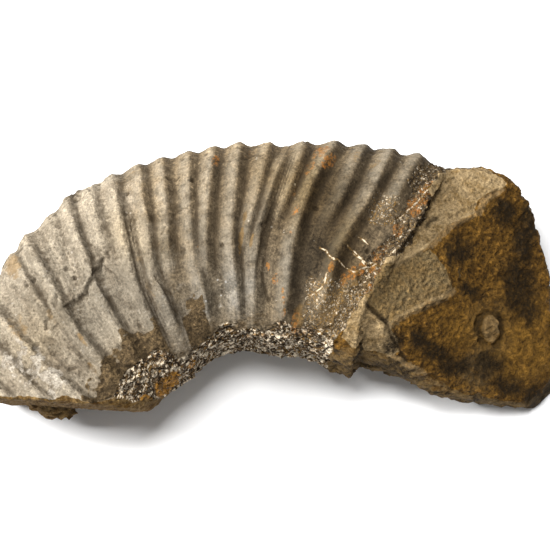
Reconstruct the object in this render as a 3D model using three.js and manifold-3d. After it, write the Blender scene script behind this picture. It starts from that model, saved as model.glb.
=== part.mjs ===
// A broken length of a large fossil ammonite's outer whorl, lying on its flank.
// The left three quarters keep the ribbed whorl; the right quarter is the bare rock
// that filled the shell, broken into flat facets. It is one piece of stone.
//
// Millimetres, +Z up. The shell coiled about an upright axis in front of the piece, so the
// whorl is laid out in angles about that axis: 90 degrees is straight behind it and the
// angle falls towards the aperture, on the right. The finished piece is moved so that the
// middle of the box it stands in is the origin.

import * as THREE from "three";
import { mergeVertices } from "three/addons/utils/BufferGeometryUtils.js";
import Module from "manifold-3d";

const wasm = await Module();
wasm.setup();

// ---------------------------------------------------------------- driving dimensions

const COIL_AXIS = { x: -11.5, y: -158.5 };
const MID_PLANE = 46; // height of the coil's plane of symmetry above the ground
const ORIGIN = { x: 1.1, y: -1.7 }; // the middle of the piece's box, which the finished piece stands on

// Radii about the coil axis: [angle in degrees, radius], from the old end to the aperture.
const VENTER = [
  [168, 192], [146, 211], [131, 225.5], [118, 234], [105, 236], [90, 240.3], [75, 247], [58, 257],
];
const UMBILICUS = [[168, 84], [128, 94], [112, 99], [102, 107], [92, 109], [84, 106], [73, 108], [60, 106]];
const ROCK_VENTER = [[80, 242], [63, 252], [57.5, 264], [50, 272], [35, 280], [12, 290]];
const ROCK_UMBILICUS = [[80, 122], [60, 120], [50, 128], [38, 138], [12, 150]];

const HALF_BREADTH = 47; // half the whorl's thickness at 90 degrees
const BREADTH_GROWTH = 0.05; // per radian towards the aperture
const VENTER_SQUARENESS = 2.9; // exponent of the section's outline: 2 is an ellipse
const UMBILICUS_SQUARENESS = 2.5;
const DORSAL_GROOVE = { depth: 7, halfWidth: 22 }; // print of the whorl that lay inside this one
// Broken crystal lining of the umbilical wall: two crossed waves, [per degree, per turn], that die
// out between two fractions of the whorl's height.
const WALL = { roughness: 1.6, waves: [[1.9, 31], [0.83, -47]], full: 0.04, none: 0.16 };

// Ribs: the crest's angle at four levels on the flank, the rib's height, and the fractions of the
// whorl's height, from the umbilicus, between which it stands.
const RIB_LEVELS = [0.95, 0.7, 0.45, 0.2];
const RIBS = [
  { crest: [156, 158, 160, 160.5], rise: 2.4, foot: 0.1, head: 1.2 },
  { crest: [150, 152, 154.5, 155], rise: 2.4, foot: 0.1, head: 1.2 },
  { crest: [144.8, 146.6, 149.2, 150], rise: 2.4, foot: 0.1, head: 1.2 },
  { crest: [139.6, 141.7, 143.3, 144], rise: 2.6, foot: 0.1, head: 1.2 },
  { crest: [132, 134.1, 136, 136.5], rise: 2, foot: 0.6, head: 1.2 },
  { crest: [128.6, 130.2, 132.6, 133.3], rise: 3.2, foot: 0.1, head: 1.2 },
  { crest: [123.4, 125.2, 127, 127.5], rise: 1.8, foot: 0.8, head: 1.2 },
  { crest: [120.2, 122.2, 124.1, 124.8], rise: 3.2, foot: 0.1, head: 1.2 },
  { crest: [116.1, 118.1, 119.8, 120.3], rise: 2.2, foot: 0.6, head: 1.2 },
  { crest: [112.3, 114, 116.2, 116.8], rise: 3.4, foot: 0.1, head: 1.2 },
  { crest: [108.1, 109.6, 111.8, 111.5], rise: 3, foot: 0.12, head: 1.2 },
  { crest: [104.3, 105.7, 108.1, 109.8], rise: 3, foot: 0.42, head: 1.2 },
  { crest: [100.1, 101.4, 102.7, 102.4], rise: 3, foot: 0.1, head: 1.2 },
  { crest: [96.3, 98.1, 100.1, 101.6], rise: 3.4, foot: 0.3, head: 1.2 },
  { crest: [92.3, 93.4, 94.7, 94.2], rise: 3.6, foot: 0.1, head: 1.2 },
  { crest: [87.9, 89.3, 91.7, 92.8], rise: 3.2, foot: 0.42, head: 1.2 },
  { crest: [84.6, 87.1, 89.4, 90.2], rise: 3, foot: 0.1, head: 0.88 },
  { crest: [82.6, 84.1, 86.9, 87.5], rise: 3.4, foot: 0.56, head: 1.2 },
  { crest: [78.1, 80.6, 82.1, 81.9], rise: 4.2, foot: 0.1, head: 1.2 },
  { crest: [73.9, 75, 77.4, 77.6], rise: 3.6, foot: 0.54, head: 1.2 },
  { crest: [69.9, 70.6, 72.7, 73], rise: 4, foot: 0.15, head: 1.2 },
  { crest: [65.9, 66.5, 67.2, 67.4], rise: 3.6, foot: 0.62, head: 1.2 },
];
const RIB_FADE = 0.12; // fraction of the whorl's height over which a rib rises from its foot

// Cross-profile of the ribbing between one rib's crest and the next, towards the aperture:
// [fraction of the gap, fraction of the height]. Each crest drops steeply on its far side.
const RIB_PROFILE = [[0, 1], [0.14, 0.5], [0.3, 0], [0.58, 0.1], [0.82, 0.6]];
const RIB_BACK = 0.3; // up to here in the gap the height is the first rib's, then the next one's

// Jagged end of the ribbed layer: [fraction of the whorl's height, angle].
const LAYER_EDGE = [
  [0, 58], [0.12, 60.5], [0.25, 62.8], [0.42, 63.4], [0.57, 61.4], [0.7, 61.2], [0.84, 62.2], [1, 61.8],
];
const LAYER_THICKNESS = 2.6; // the bare rock lies this far under the ribbed surface

// A flake of the ribbed surface that broke away near the old end.
const FLAKE = { from: 120, to: 132, low: 0.5, high: 0.66, depth: 1.8 };
const FLAKE_SLOPE = { side: 1, foot: 0.1, head: 0.02 }; // how far its edges take to reach its floor

// Break faces: a point on the face and its outward normal.
const OLD_END = { at: [-174.5, -30, 46], out: [-1, -0.06, 0.03] };
const OLD_BREAK = { at: [-115, -83, 46], out: [-0.07, -1, -0.12] };
const OLD_LEDGE = { at: [-120, -77.5, 20], out: [0.02, -1, -0.5] };
const ROCK_TOP = { at: [100, 14, 82], out: [0.09, 0.158, 1] };
const ROCK_LOBE_TOP = { at: [67, -2.5, 88.5], out: [0.22, -0.15, 1] };
const ROCK_LOBE_SIDE = { at: [107, -6, 78], out: [1, -0.1, 0.8] };
const ROCK_LOBE_FRONT = { at: [95, -24, 79], out: [0.62, -0.6, 1] };
const ROCK_FACE = { at: [100, 14, 81], out: [0.506, -0.356, 1] };
const ROCK_BEVEL = { at: [76, -54, 73], out: [0.23, -1.5, 1] };
const ROCK_UNDER = { at: [97, -72, 30], out: [-0.1, -1, -0.1] };
const ROCK_BACK = { at: [155, 46, 60], out: [0.76, 0.65, 0.2] };
const ROCK_SIDE = { at: [169, 13, 40], out: [0.96, 0.275, 0.12] };
const ROCK_END = { at: [175.2, -40, 20], out: [1, 0.03, 0.1] };
const ROCK_CORNER = { at: [160, -70, 22], out: [0.75, -0.8, 0.42] };

const KNOB = { at: [133, -34], radius: 7.2, rise: 2.2, moat: 1.6, moatWidth: 1.5, sides: 14 };
const LUMPS = [
  { at: [-138, -79, 22], size: [11, 6, 10] },
  { at: [42, -52, 30], size: [9, 7, 16] },
];

const UPPER_STEPS = 18; // points round the upper half of a ribbed section
const LOWER_STEPS = 12;
const ROCK_RING_POINTS = 26;
const ROCK_STATIONS = 9;

const STONE_COLOUR = 0x8d7d63;
const STONE_ROUGHNESS = 0.85;

// ---------------------------------------------------------------- small helpers

const radians = THREE.MathUtils.degToRad;
const smooth = THREE.MathUtils.smoothstep;

/** Smooth curve through [input, output] points, held flat past its ends. */
function curveThrough(points) {
  const sorted = [...points].sort((a, b) => a[0] - b[0]);
  const slopeAt = (i) => {
    const before = sorted[Math.max(i - 1, 0)];
    const after = sorted[Math.min(i + 1, sorted.length - 1)];
    return (after[1] - before[1]) / (after[0] - before[0]);
  };
  return (input) => {
    const x = THREE.MathUtils.clamp(input, sorted[0][0], sorted[sorted.length - 1][0]);
    const next = Math.max(sorted.findIndex((point) => point[0] >= x), 1);
    const [x0, y0] = sorted[next - 1];
    const [x1, y1] = sorted[next];
    const span = x1 - x0;
    const t = (x - x0) / span;
    const bend = (1 - t) * slopeAt(next - 1) * span * t * (1 - t) - t * slopeAt(next) * span * t * (1 - t);
    const chord = (y1 - y0) * t * (1 - t) * (1 - 2 * t);
    return y0 + (y1 - y0) * t + bend - chord;
  };
}

/** Turns a triangle list into a solid that can be joined and cut. */
function solidFrom(positions, triangles) {
  return new wasm.Manifold(new wasm.Mesh({
    numProp: 3,
    vertProperties: new Float32Array(positions),
    triVerts: new Uint32Array(triangles),
  }));
}

/** Turns a closed three.js geometry into a solid. */
function solidFromGeometry(geometry) {
  const bare = geometry.clone();
  bare.deleteAttribute("normal");
  bare.deleteAttribute("uv");
  const merged = mergeVertices(bare, 1e-4);
  return solidFrom(merged.attributes.position.array, merged.index.array);
}

/** Closed solid through rings of points, each end closed by a fan from its ring's middle. */
function solidThroughRings(rings) {
  const size = rings[0].length;
  const positions = [];
  const triangles = [];
  rings.flat().forEach((point) => positions.push(point.x, point.y, point.z));
  for (let r = 0; r + 1 < rings.length; r++) {
    for (let i = 0; i < size; i++) {
      const j = (i + 1) % size;
      const [a, b, c, d] = [r * size + i, r * size + j, (r + 1) * size + j, (r + 1) * size + i];
      triangles.push(a, b, c, a, c, d);
    }
  }
  const fan = (ring, start, outward) => {
    const middle = new THREE.Vector3();
    ring.forEach((point) => middle.addScaledVector(point, 1 / size));
    const hub = positions.length / 3;
    positions.push(middle.x, middle.y, middle.z);
    for (let i = 0; i < size; i++) {
      const j = (i + 1) % size;
      triangles.push(hub, start + (outward ? i : j), start + (outward ? j : i));
    }
  };
  fan(rings[0], 0, false);
  fan(rings[rings.length - 1], (rings.length - 1) * size, true);
  return solidFrom(positions, triangles);
}

/** Everything outside a break face, as a thick slab lying on it. */
function beyond(face) {
  const size = 600;
  const slab = new THREE.BoxGeometry(size, size, size);
  slab.translate(0, 0, size / 2);
  const out = new THREE.Vector3(...face.out).normalize();
  slab.applyQuaternion(new THREE.Quaternion().setFromUnitVectors(new THREE.Vector3(0, 0, 1), out));
  slab.translate(...face.at);
  return solidFromGeometry(slab);
}

function breakOff(solid, faces) {
  return faces.reduce((rest, face) => rest.subtract(beyond(face)), solid);
}

/** Rough lump of rock. */
function lump({ at, size }) {
  const geometry = new THREE.IcosahedronGeometry(1, 1);
  geometry.scale(...size);
  geometry.translate(...at);
  return solidFromGeometry(geometry);
}

// ---------------------------------------------------------------- the whorl's section

/**
 * One point of the section's outline. Turn 0 is the venter, a quarter turn the upper flank,
 * a half turn the umbilical side. Gives the place in the section's own plane, the outward
 * direction, and the fraction of the whorl's height from the umbilicus.
 */
function outlinePoint(turn, halfHeight, halfBreadth) {
  const along = Math.cos(2 * Math.PI * turn);
  const up = Math.sin(2 * Math.PI * turn);
  const power = along > 0 ? VENTER_SQUARENESS : UMBILICUS_SQUARENESS;
  const a = Math.abs(along) / halfHeight;
  const b = Math.abs(up) / halfBreadth;
  const reach = (a ** power + b ** power) ** (-1 / power);
  const outward = new THREE.Vector2(
    Math.sign(along) * (a * reach) ** (power - 1) / halfHeight,
    Math.sign(up) * (b * reach) ** (power - 1) / halfBreadth,
  ).normalize();
  const place = new THREE.Vector2(along * reach, up * reach);
  return { place, outward, height: (place.x / halfHeight + 1) / 2 };
}

/** Places a point of the section at an angle about the coil axis. */
function aboutCoil(angle, radius, z) {
  return new THREE.Vector3(
    COIL_AXIS.x + radius * Math.cos(radians(angle)),
    COIL_AXIS.y + radius * Math.sin(radians(angle)),
    z,
  );
}

function halfBreadthAt(angle) {
  return HALF_BREADTH * Math.exp(BREADTH_GROWTH * radians(90 - angle));
}

// ---------------------------------------------------------------- ribbed whorl

const venterRadius = curveThrough(VENTER);
const umbilicusRadius = curveThrough(UMBILICUS);
const layerEdge = curveThrough(LAYER_EDGE);
const crests = RIBS.map(({ crest }) => curveThrough(RIB_LEVELS.map((level, i) => [level, crest[i]])));

/** Angle of a rib's crest at a fraction of the whorl's height; past the last rib, the broken edge. */
function crestAngle(rib, height) {
  return rib === RIBS.length ? layerEdge(height) : crests[rib](height);
}

/** Height of a rib's crest at a fraction of the whorl's height. */
function crestHeight(rib, height) {
  if (rib === RIBS.length) return 0;
  const { rise, foot, head } = RIBS[rib];
  const belowHead = 1 - smooth(height, head - RIB_FADE / 2, head + RIB_FADE / 2);
  return rise * smooth(height, foot - RIB_FADE / 2, foot + RIB_FADE) * belowHead;
}

/** Uneven wall where the umbilical side has broken and grown crystals. */
function wallRoughness(angle, turn, height) {
  const waves = WALL.waves.map(([perDegree, perTurn]) => Math.sin(angle * perDegree + turn * perTurn));
  const grain = waves.reduce((sum, wave) => sum + wave, 0) / waves.length;
  return WALL.roughness * grain * (1 - smooth(height, WALL.full, WALL.none));
}

function flakeDepth(angle, height) {
  const { from, to, low, high, depth } = FLAKE;
  const { side, foot, head } = FLAKE_SLOPE;
  const along = smooth(angle, from, from + side) * (1 - smooth(angle, to - side, to));
  const across = smooth(height, low - foot, low) * (1 - smooth(height, high - head, high));
  return depth * along * across;
}

function ribbedPoint(rib, fraction, keep, turn) {
  const middleAngle = THREE.MathUtils.lerp(crestAngle(rib, 0.5), crestAngle(rib + 1, 0.5), fraction);
  const halfHeight = (venterRadius(middleAngle) - umbilicusRadius(middleAngle)) / 2;
  const { place, outward, height } = outlinePoint(turn, halfHeight, halfBreadthAt(middleAngle));
  const angle = THREE.MathUtils.lerp(crestAngle(rib, height), crestAngle(rib + 1, height), fraction);
  const rise = keep * crestHeight(fraction < RIB_BACK ? rib : rib + 1, height);
  const onUpperFlank = place.y > 0 ? flakeDepth(angle, height) : 0;
  const grooveProfile = Math.exp(-((place.y / DORSAL_GROOVE.halfWidth) ** 2));
  const groove = place.x < 0 ? DORSAL_GROOVE.depth * grooveProfile : 0;
  place.addScaledVector(outward, rise - onUpperFlank + wallRoughness(angle, turn, height));
  const middleRadius = (venterRadius(angle) + umbilicusRadius(angle)) / 2;
  return aboutCoil(angle, middleRadius + place.x + groove, MID_PLANE + place.y);
}

function ribbedWhorl() {
  const stations = [];
  for (let rib = 0; rib < RIBS.length; rib++) {
    RIB_PROFILE.forEach(([fraction, keep]) => stations.push([rib, fraction, keep]));
  }
  stations.push([RIBS.length - 1, 1, 0]);
  const upper = Array.from({ length: UPPER_STEPS }, (_, i) => i / UPPER_STEPS / 2);
  const lower = Array.from({ length: LOWER_STEPS }, (_, i) => 0.5 + i / LOWER_STEPS / 2);
  const turns = [...upper, ...lower];
  const rings = stations.map((station) => turns.map((turn) => ribbedPoint(...station, turn)));
  return breakOff(solidThroughRings(rings), [OLD_END, OLD_BREAK, OLD_LEDGE]);
}

// ---------------------------------------------------------------- bare rock

const rockVenter = curveThrough(ROCK_VENTER);
const rockUmbilicus = curveThrough(ROCK_UMBILICUS);

/** The smooth filling of the whorl, just under the ribbed surface, before it is broken. */
function rockFilling() {
  const first = ROCK_VENTER[0][0];
  const last = ROCK_VENTER[ROCK_VENTER.length - 1][0];
  const rings = Array.from({ length: ROCK_STATIONS }, (_, station) => {
    const angle = THREE.MathUtils.lerp(first, last, station / (ROCK_STATIONS - 1));
    const halfHeight = (rockVenter(angle) - rockUmbilicus(angle)) / 2;
    const middleRadius = (rockVenter(angle) + rockUmbilicus(angle)) / 2;
    const halfBreadth = halfBreadthAt(angle) - LAYER_THICKNESS / 2;
    return Array.from({ length: ROCK_RING_POINTS }, (_, i) => {
      const { place } = outlinePoint(i / ROCK_RING_POINTS, halfHeight, halfBreadth);
      return aboutCoil(angle, middleRadius + place.x, MID_PLANE - LAYER_THICKNESS / 2 + place.y);
    });
  });
  return solidThroughRings(rings);
}

/** Low round knob in a shallow moat, on the big sloping break face. */
function knobSolids() {
  const normal = new THREE.Vector3(...ROCK_FACE.out).normalize();
  const [x, y] = KNOB.at;
  const [px, py, pz] = ROCK_FACE.at;
  const z = pz - ROCK_FACE.out[0] * (x - px) - ROCK_FACE.out[1] * (y - py);
  const turn = new THREE.Quaternion().setFromUnitVectors(new THREE.Vector3(0, 1, 0), normal);
  const mouth = KNOB.radius + KNOB.moatWidth;
  const moat = new THREE.CylinderGeometry(mouth, KNOB.radius, 2 * KNOB.moat, KNOB.sides);
  const dome = new THREE.SphereGeometry(KNOB.radius, KNOB.sides, KNOB.sides / 2);
  dome.scale(1, (KNOB.rise + KNOB.moat) / KNOB.radius, 1);
  dome.translate(0, -KNOB.moat, 0);
  return [moat, dome].map((geometry) => {
    geometry.applyQuaternion(turn);
    geometry.translate(x, y, z);
    return solidFromGeometry(geometry);
  });
}

function brokenRock() {
  const outside = [ROCK_TOP, ROCK_BEVEL, ROCK_UNDER, ROCK_BACK, ROCK_SIDE, ROCK_END, ROCK_CORNER];
  const filling = breakOff(rockFilling(), outside);
  const [moat, knob] = knobSolids();
  const main = breakOff(filling, [ROCK_FACE]).subtract(moat).add(knob);
  const lobe = breakOff(filling, [ROCK_LOBE_TOP, ROCK_LOBE_SIDE, ROCK_LOBE_FRONT]);
  return main.add(lobe);
}

// ---------------------------------------------------------------- the whole piece

function ammoniteSection() {
  const ground = { at: [0, 0, 0], out: [0, 0, -1] };
  const whole = LUMPS.reduce((rest, each) => rest.add(lump(each)), ribbedWhorl().add(brokenRock()));
  const standing = breakOff(whole, [ground]).translate([-ORIGIN.x, -ORIGIN.y, 0]);
  const { vertProperties, triVerts } = standing.getMesh();
  const geometry = new THREE.BufferGeometry();
  geometry.setAttribute("position", new THREE.BufferAttribute(new Float32Array(vertProperties), 3));
  geometry.setIndex(new THREE.BufferAttribute(new Uint32Array(triVerts), 1));
  geometry.computeVertexNormals();
  const material = new THREE.MeshStandardMaterial({ color: STONE_COLOUR, roughness: STONE_ROUGHNESS });
  const mesh = new THREE.Mesh(geometry, material);
  mesh.name = "ammonite_section";
  return mesh;
}

const group = new THREE.Group();
group.add(ammoniteSection());

export default group;
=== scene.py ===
"""Looks of a fossil ammonite section: a broken length of ribbed outer whorl, lying on its flank.

The stone is modelled at full detail, in millimetres, from the same driving dimensions as the
solid that it stands for. It is then worked over like a carving: ribs, growth lines, flakes, the
crystal crust of the umbilical wall and the facets of the bare rock are all in the mesh.
"""

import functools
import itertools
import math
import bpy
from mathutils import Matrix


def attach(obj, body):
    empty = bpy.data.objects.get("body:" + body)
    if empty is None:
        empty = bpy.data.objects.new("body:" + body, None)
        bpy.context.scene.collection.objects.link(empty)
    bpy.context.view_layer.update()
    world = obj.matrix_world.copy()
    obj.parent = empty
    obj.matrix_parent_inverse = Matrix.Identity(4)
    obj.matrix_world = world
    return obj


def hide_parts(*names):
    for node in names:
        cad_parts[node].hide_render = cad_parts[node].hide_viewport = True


bl_info = {
    "name": "Fossil ammonite section",
    "version": (1, 0, 0),
    "blender": (4, 5, 0),
    "location": "View3D > Sidebar > Fossil",
    "description": "Builds a broken ammonite whorl and the pale stage it lies on",
    "category": "Add Mesh",
}

import bmesh
import bpy
import numpy as np
from mathutils import Matrix, Vector

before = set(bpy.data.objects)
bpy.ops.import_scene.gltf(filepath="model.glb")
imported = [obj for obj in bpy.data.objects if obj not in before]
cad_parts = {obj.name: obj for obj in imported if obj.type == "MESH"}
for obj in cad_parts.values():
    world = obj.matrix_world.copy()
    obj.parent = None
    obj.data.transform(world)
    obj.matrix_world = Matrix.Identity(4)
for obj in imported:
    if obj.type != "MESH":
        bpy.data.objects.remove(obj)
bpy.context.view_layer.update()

MM = 0.001
PIECE = "fossil_ammonite"

# ------------------------------------------------------------ driving dimensions, in millimetres

COIL_AXIS = (-11.5, -158.5)  # the upright axis the shell coiled about
MID_PLANE = 46.0  # height of the coil's plane of symmetry
ORIGIN = (1.1, -1.7)  # the middle of the piece's box, which the finished piece stands on

# Radii about the coil axis: (angle in degrees, radius), from the old end to the aperture.
VENTER = (
    (168, 192), (146, 211), (131, 225.5), (118, 233), (105, 234), (90, 238.2), (75, 245), (66, 251.5),
    (58, 257),
)
UMBILICUS = ((168, 84), (128, 94), (112, 99), (102, 107), (92, 109), (84, 106), (73, 108), (60, 106))
ROCK_VENTER = ((80, 242), (63, 252), (57.5, 264), (50, 272), (35, 280), (12, 290))
ROCK_UMBILICUS = ((80, 122), (60, 120), (50, 128), (38, 138), (12, 150))
WHORL_HEIGHT = 140.0  # usual distance from the umbilicus to the venter

BREADTH_GROWTH = 0.05  # per radian towards the aperture
VENTER_SQUARENESS = 2.9  # exponent of the section's outline: 2 is an ellipse
UMBILICUS_SQUARENESS = 2.5
GROOVE_DEPTH = 7.0  # print of the whorl that lay inside this one
GROOVE_HALF_WIDTH = 22.0

# Ribs: the angle of the crest at four levels on the flank, then the rib's height, and the
# fractions of the whorl's height between which it stands.
RIB_LEVELS = (0.95, 0.7, 0.45, 0.2)
RIBS = np.array([
    (156.0, 158.0, 160.0, 160.5, 2.4, 0.10, 1.2),
    (150.0, 152.0, 154.5, 155.0, 2.4, 0.10, 1.2),
    (144.8, 146.6, 149.2, 150.0, 2.4, 0.10, 1.2),
    (139.6, 141.7, 143.3, 144.0, 2.6, 0.10, 1.2),
    (132.0, 134.1, 136.0, 136.5, 2.0, 0.60, 1.2),
    (128.6, 130.2, 132.6, 133.3, 3.2, 0.10, 1.2),
    (123.4, 125.2, 127.0, 127.5, 1.8, 0.80, 1.2),
    (120.2, 122.2, 124.1, 124.8, 3.2, 0.10, 1.2),
    (116.1, 118.1, 119.8, 120.3, 2.2, 0.60, 1.2),
    (112.3, 114.0, 116.2, 116.8, 3.4, 0.10, 1.2),
    (108.1, 109.6, 111.8, 111.5, 3.0, 0.12, 1.2),
    (104.3, 105.7, 108.1, 109.8, 3.0, 0.42, 1.2),
    (100.1, 101.4, 102.7, 102.4, 3.0, 0.10, 1.2),
    (96.3, 98.1, 100.1, 101.6, 3.4, 0.30, 1.2),
    (92.3, 93.4, 94.7, 94.2, 3.6, 0.10, 1.2),
    (87.9, 89.3, 91.7, 92.8, 3.2, 0.42, 1.2),
    (84.6, 87.1, 89.4, 90.2, 3.0, 0.10, 0.88),
    (82.6, 84.1, 86.9, 87.5, 3.4, 0.56, 1.2),
    (78.1, 80.6, 82.1, 81.9, 4.2, 0.10, 1.2),
    (73.9, 75.0, 77.4, 77.6, 3.6, 0.54, 1.2),
    (69.9, 70.6, 72.7, 73.0, 4.0, 0.15, 1.2),
    (65.9, 66.5, 67.2, 67.4, 3.6, 0.62, 1.2),
])
RIB_GAP = 14.5  # usual distance between two crests
USUAL_RISE = 3.4  # usual height of a rib
OLD_RIB_STEP = 5.5  # degrees between the ribs past the first one
RIB_FADE = 0.12  # fraction of the whorl's height over which a rib rises from its foot

# Cross-profile of a rib: (millimetres past the crest, towards the aperture, fraction of its height).
RIB_PROFILE = (
    (-16, 0), (-12, 0.08), (-8, 0.30), (-5, 0.62), (-2.8, 0.88), (-1.2, 0.98), (0, 1), (1.3, 0.93),
    (2.8, 0.70), (4.4, 0.38), (6, 0.14), (7.6, 0.03), (9, 0),
)
VENTER_LIFT = -0.2  # how much the ribs rise or sink where they cross the venter
OLD_STEEPNESS = 1.8  # how much steeper the far sides of the oldest ribs are
STEEP_ANGLES = (104, 118)  # from where to where this sets in
STEEP_HEIGHTS = (0.98, 0.85)
VENTER_LEVELS = (0.86, 1)  # fractions of the whorl's height between which the ribs cross the venter

# Jagged end of the ribbed layer: (fraction of the whorl's height, angle), and the waves that
# tear it: (degrees, waves over the whorl's height, start).
LAYER_EDGE = (
    (0, 58), (0.12, 60.5), (0.25, 62.8), (0.42, 63.4), (0.57, 61.4), (0.7, 61.2), (0.84, 62.2), (1, 61.8),
)
# Where the crust thins out over the rock, near the umbilicus: how far beyond the torn end.
THIN_CRUST = ((0, 8.0), (0.12, 5.6), (0.25, 1.4), (0.42, 0), (1, 0))
TEARS = ((0.4, 5, 0), (0.3, 11, 1), (0.2, 23, 2))

# Break faces: a point on the face and its outward direction.
OLD_BREAKS = {
    "old_end": ((-174.5, -30, 46), (-1, -0.06, 0.03)),
    "old_inner": ((-115, -83, 46), (-0.07, -1, -0.12)),
    "old_ledge": ((-120, -77.5, 20), (0.02, -1, -0.5)),
}
ROCK_BREAKS = {
    "top": ((100, 14, 82), (0.09, 0.158, 1)),
    "bevel": ((76, -54, 73), (0.23, -1.5, 1)),
    "under": ((97, -72, 30), (-0.1, -1, -0.1)),
    "back": ((155, 46, 60), (0.76, 0.65, 0.2)),
    "side": ((169, 13, 40), (0.96, 0.275, 0.12)),
    "end": ((175.2, -40, 20), (1, 0.03, 0.1)),
    "corner": ((160, -70, 22), (0.75, -0.8, 0.42)),
}
BIG_FACE = {"big_face": ((100, 14, 81), (0.506, -0.356, 1))}
LOBE_BREAKS = {
    "lobe_top": ((67, -2.5, 88.5), (0.22, -0.15, 1)),
    "lobe_side": ((107, -6, 78), (1, -0.1, 0.8)),
    "lobe_front": ((95, -24, 79), (0.62, -0.6, 1)),
}
GROUND = ((0, 0, 0), (0, 0, -1))
LUMPS = (
    ((-138, -79, 22), (11, 6, 10)), ((-131, -81, 19), (8, 5, 8)), ((-146, -78, 27), (7, 4, 6)),
    ((42, -52, 30), (9, 7, 16)), ((36, -50, 38), (8, 5, 8)), ((47, -53, 24), (6, 6, 12)),
)

STEPS_IN_RIB_GAP = 20
RING_POINTS = 180
ROCK_RINGS = 40
ROCK_RING_POINTS = 96

# ------------------------------------------------------------ marks and damage

# Edges where a thin layer of the ribbed surface has come away, as lines of (angle, fraction of the
# whorl's height), then the drop and how far it runs. The low side is on the right of the line.
FLAKES = (
    (
        ((132.2, 0.60), (131.0, 0.585), (129.6, 0.585), (128.1, 0.57), (126.5, 0.57), (125.0, 0.585),
         (123.9, 0.59), (122.6, 0.61), (121.7, 0.61), (120.7, 0.625), (119.4, 0.625)), 2.8, 9.0,
    ),
    (((110.8, 0.20), (110.7, 0.27), (111.0, 0.31), (111.8, 0.37), (112.3, 0.41), (112.4, 0.47)), 1.2, 4.0),
    (((133.4, 0.62), (131.6, 0.64), (130.4, 0.65)), 1.2, 4.0),
    (((142.2, 0.60), (141.0, 0.62), (139.6, 0.60)), 1.2, 5.0),
)
# Cracks in the ribbed surface: the line, its width and its relief, in millimetres.
CRACKS = (
    (((135.6, 0.62), (136.4, 0.605), (137.1, 0.585)), 1.0, -1.6),
    (((130.4, 0.65), (131.6, 0.64), (133.0, 0.62)), 1.1, -1.5),
    (((123.0, 0.598), (121.8, 0.603), (120.6, 0.615), (119.2, 0.630)), 1.3, -2.2),
    (((97.4, 0.92), (96.3, 0.88), (94.7, 0.87), (92.3, 0.865), (90.0, 0.89), (87.5, 0.885)), 0.8, -0.6),
    (((105.2, 0.65), (103.7, 0.67), (102.5, 0.67), (101.6, 0.66)), 0.7, -0.5),
    (((104.5, 0.87), (103.7, 0.84), (102.9, 0.83), (102.0, 0.845)), 0.9, -0.9),
    (((108.2, 0.59), (107.4, 0.61), (106.7, 0.625)), 1.3, -0.8),
    (((105.7, 0.45), (104.9, 0.48), (103.9, 0.485)), 1.5, -0.9),
    (((101.5, 0.70), (100.6, 0.72), (99.6, 0.735)), 0.9, -0.5),
    (((88.3, 0.33), (87.7, 0.27), (87.1, 0.23), (86.0, 0.18)), 1.0, -1.0),
    (((119.5, 0.97), (118.6, 0.99), (117.6, 0.96)), 1.2, -1.0),
    (((140.6, 0.41), (139.6, 0.385), (138.6, 0.37)), 1.4, -1.1),
)
# Long grooves and raised threads that run with the ribs: the line, its width and its relief.
THREADS = (
    (
        ((85.3, 0.70), (86.1, 0.64), (86.9, 0.58), (87.9, 0.49), (88.5, 0.40), (89.3, 0.32), (89.6, 0.22)),
        1.3, -1.3,
    ),
    (((85.6, 0.66), (86.2, 0.59), (87.2, 0.47), (87.8, 0.36), (88.2, 0.28)), 0.9, -0.7),
    (((86.0, 0.84), (86.6, 0.77), (87.3, 0.69), (88.4, 0.60), (89.6, 0.51), (90.9, 0.43)), 1.0, 1.0),
    (((112.4, 0.78), (112.8, 0.71), (113.8, 0.58), (114.8, 0.46), (115.4, 0.36), (115.5, 0.26)), 0.9, 0.7),
    (((111.3, 0.78), (111.8, 0.70), (112.8, 0.58), (113.7, 0.46), (114.4, 0.34)), 1.2, -0.7),
    (((108.7, 0.86), (109.1, 0.80), (109.3, 0.75), (109.2, 0.66)), 0.7, 0.6),
    (((124.2, 0.45), (124.4, 0.40), (124.6, 0.32)), 0.8, -0.7),
    (((111.6, 0.58), (112.0, 0.50), (112.3, 0.43)), 1.0, 0.6),
)
# Dark, rough growths on the venter: the place, its size and how far it stands out.
GROWTHS = (
    ((118.6, 0.99), 9.0, 3.2), ((128.2, 0.97), 6.0, 1.6), ((115.0, 0.98), 5.0, 1.4),
    ((66.5, 0.985), 6.0, 1.4), ((133.5, 0.98), 5.0, 1.2), ((71.5, 0.985), 5.0, 1.2),
)
# Small round pits: angle, fraction of the whorl's height.
PITS = (
    (96.8, 0.45), (88.3, 0.53), (78.8, 0.62), (67.3, 0.47), (126.3, 0.64), (132.2, 0.78), (133.7, 0.79),
    (126.6, 0.70), (100.2, 0.80), (111.2, 0.85),
)
PIT_RADIUS = 1.0
PIT_DEPTH = 2.0

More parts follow.
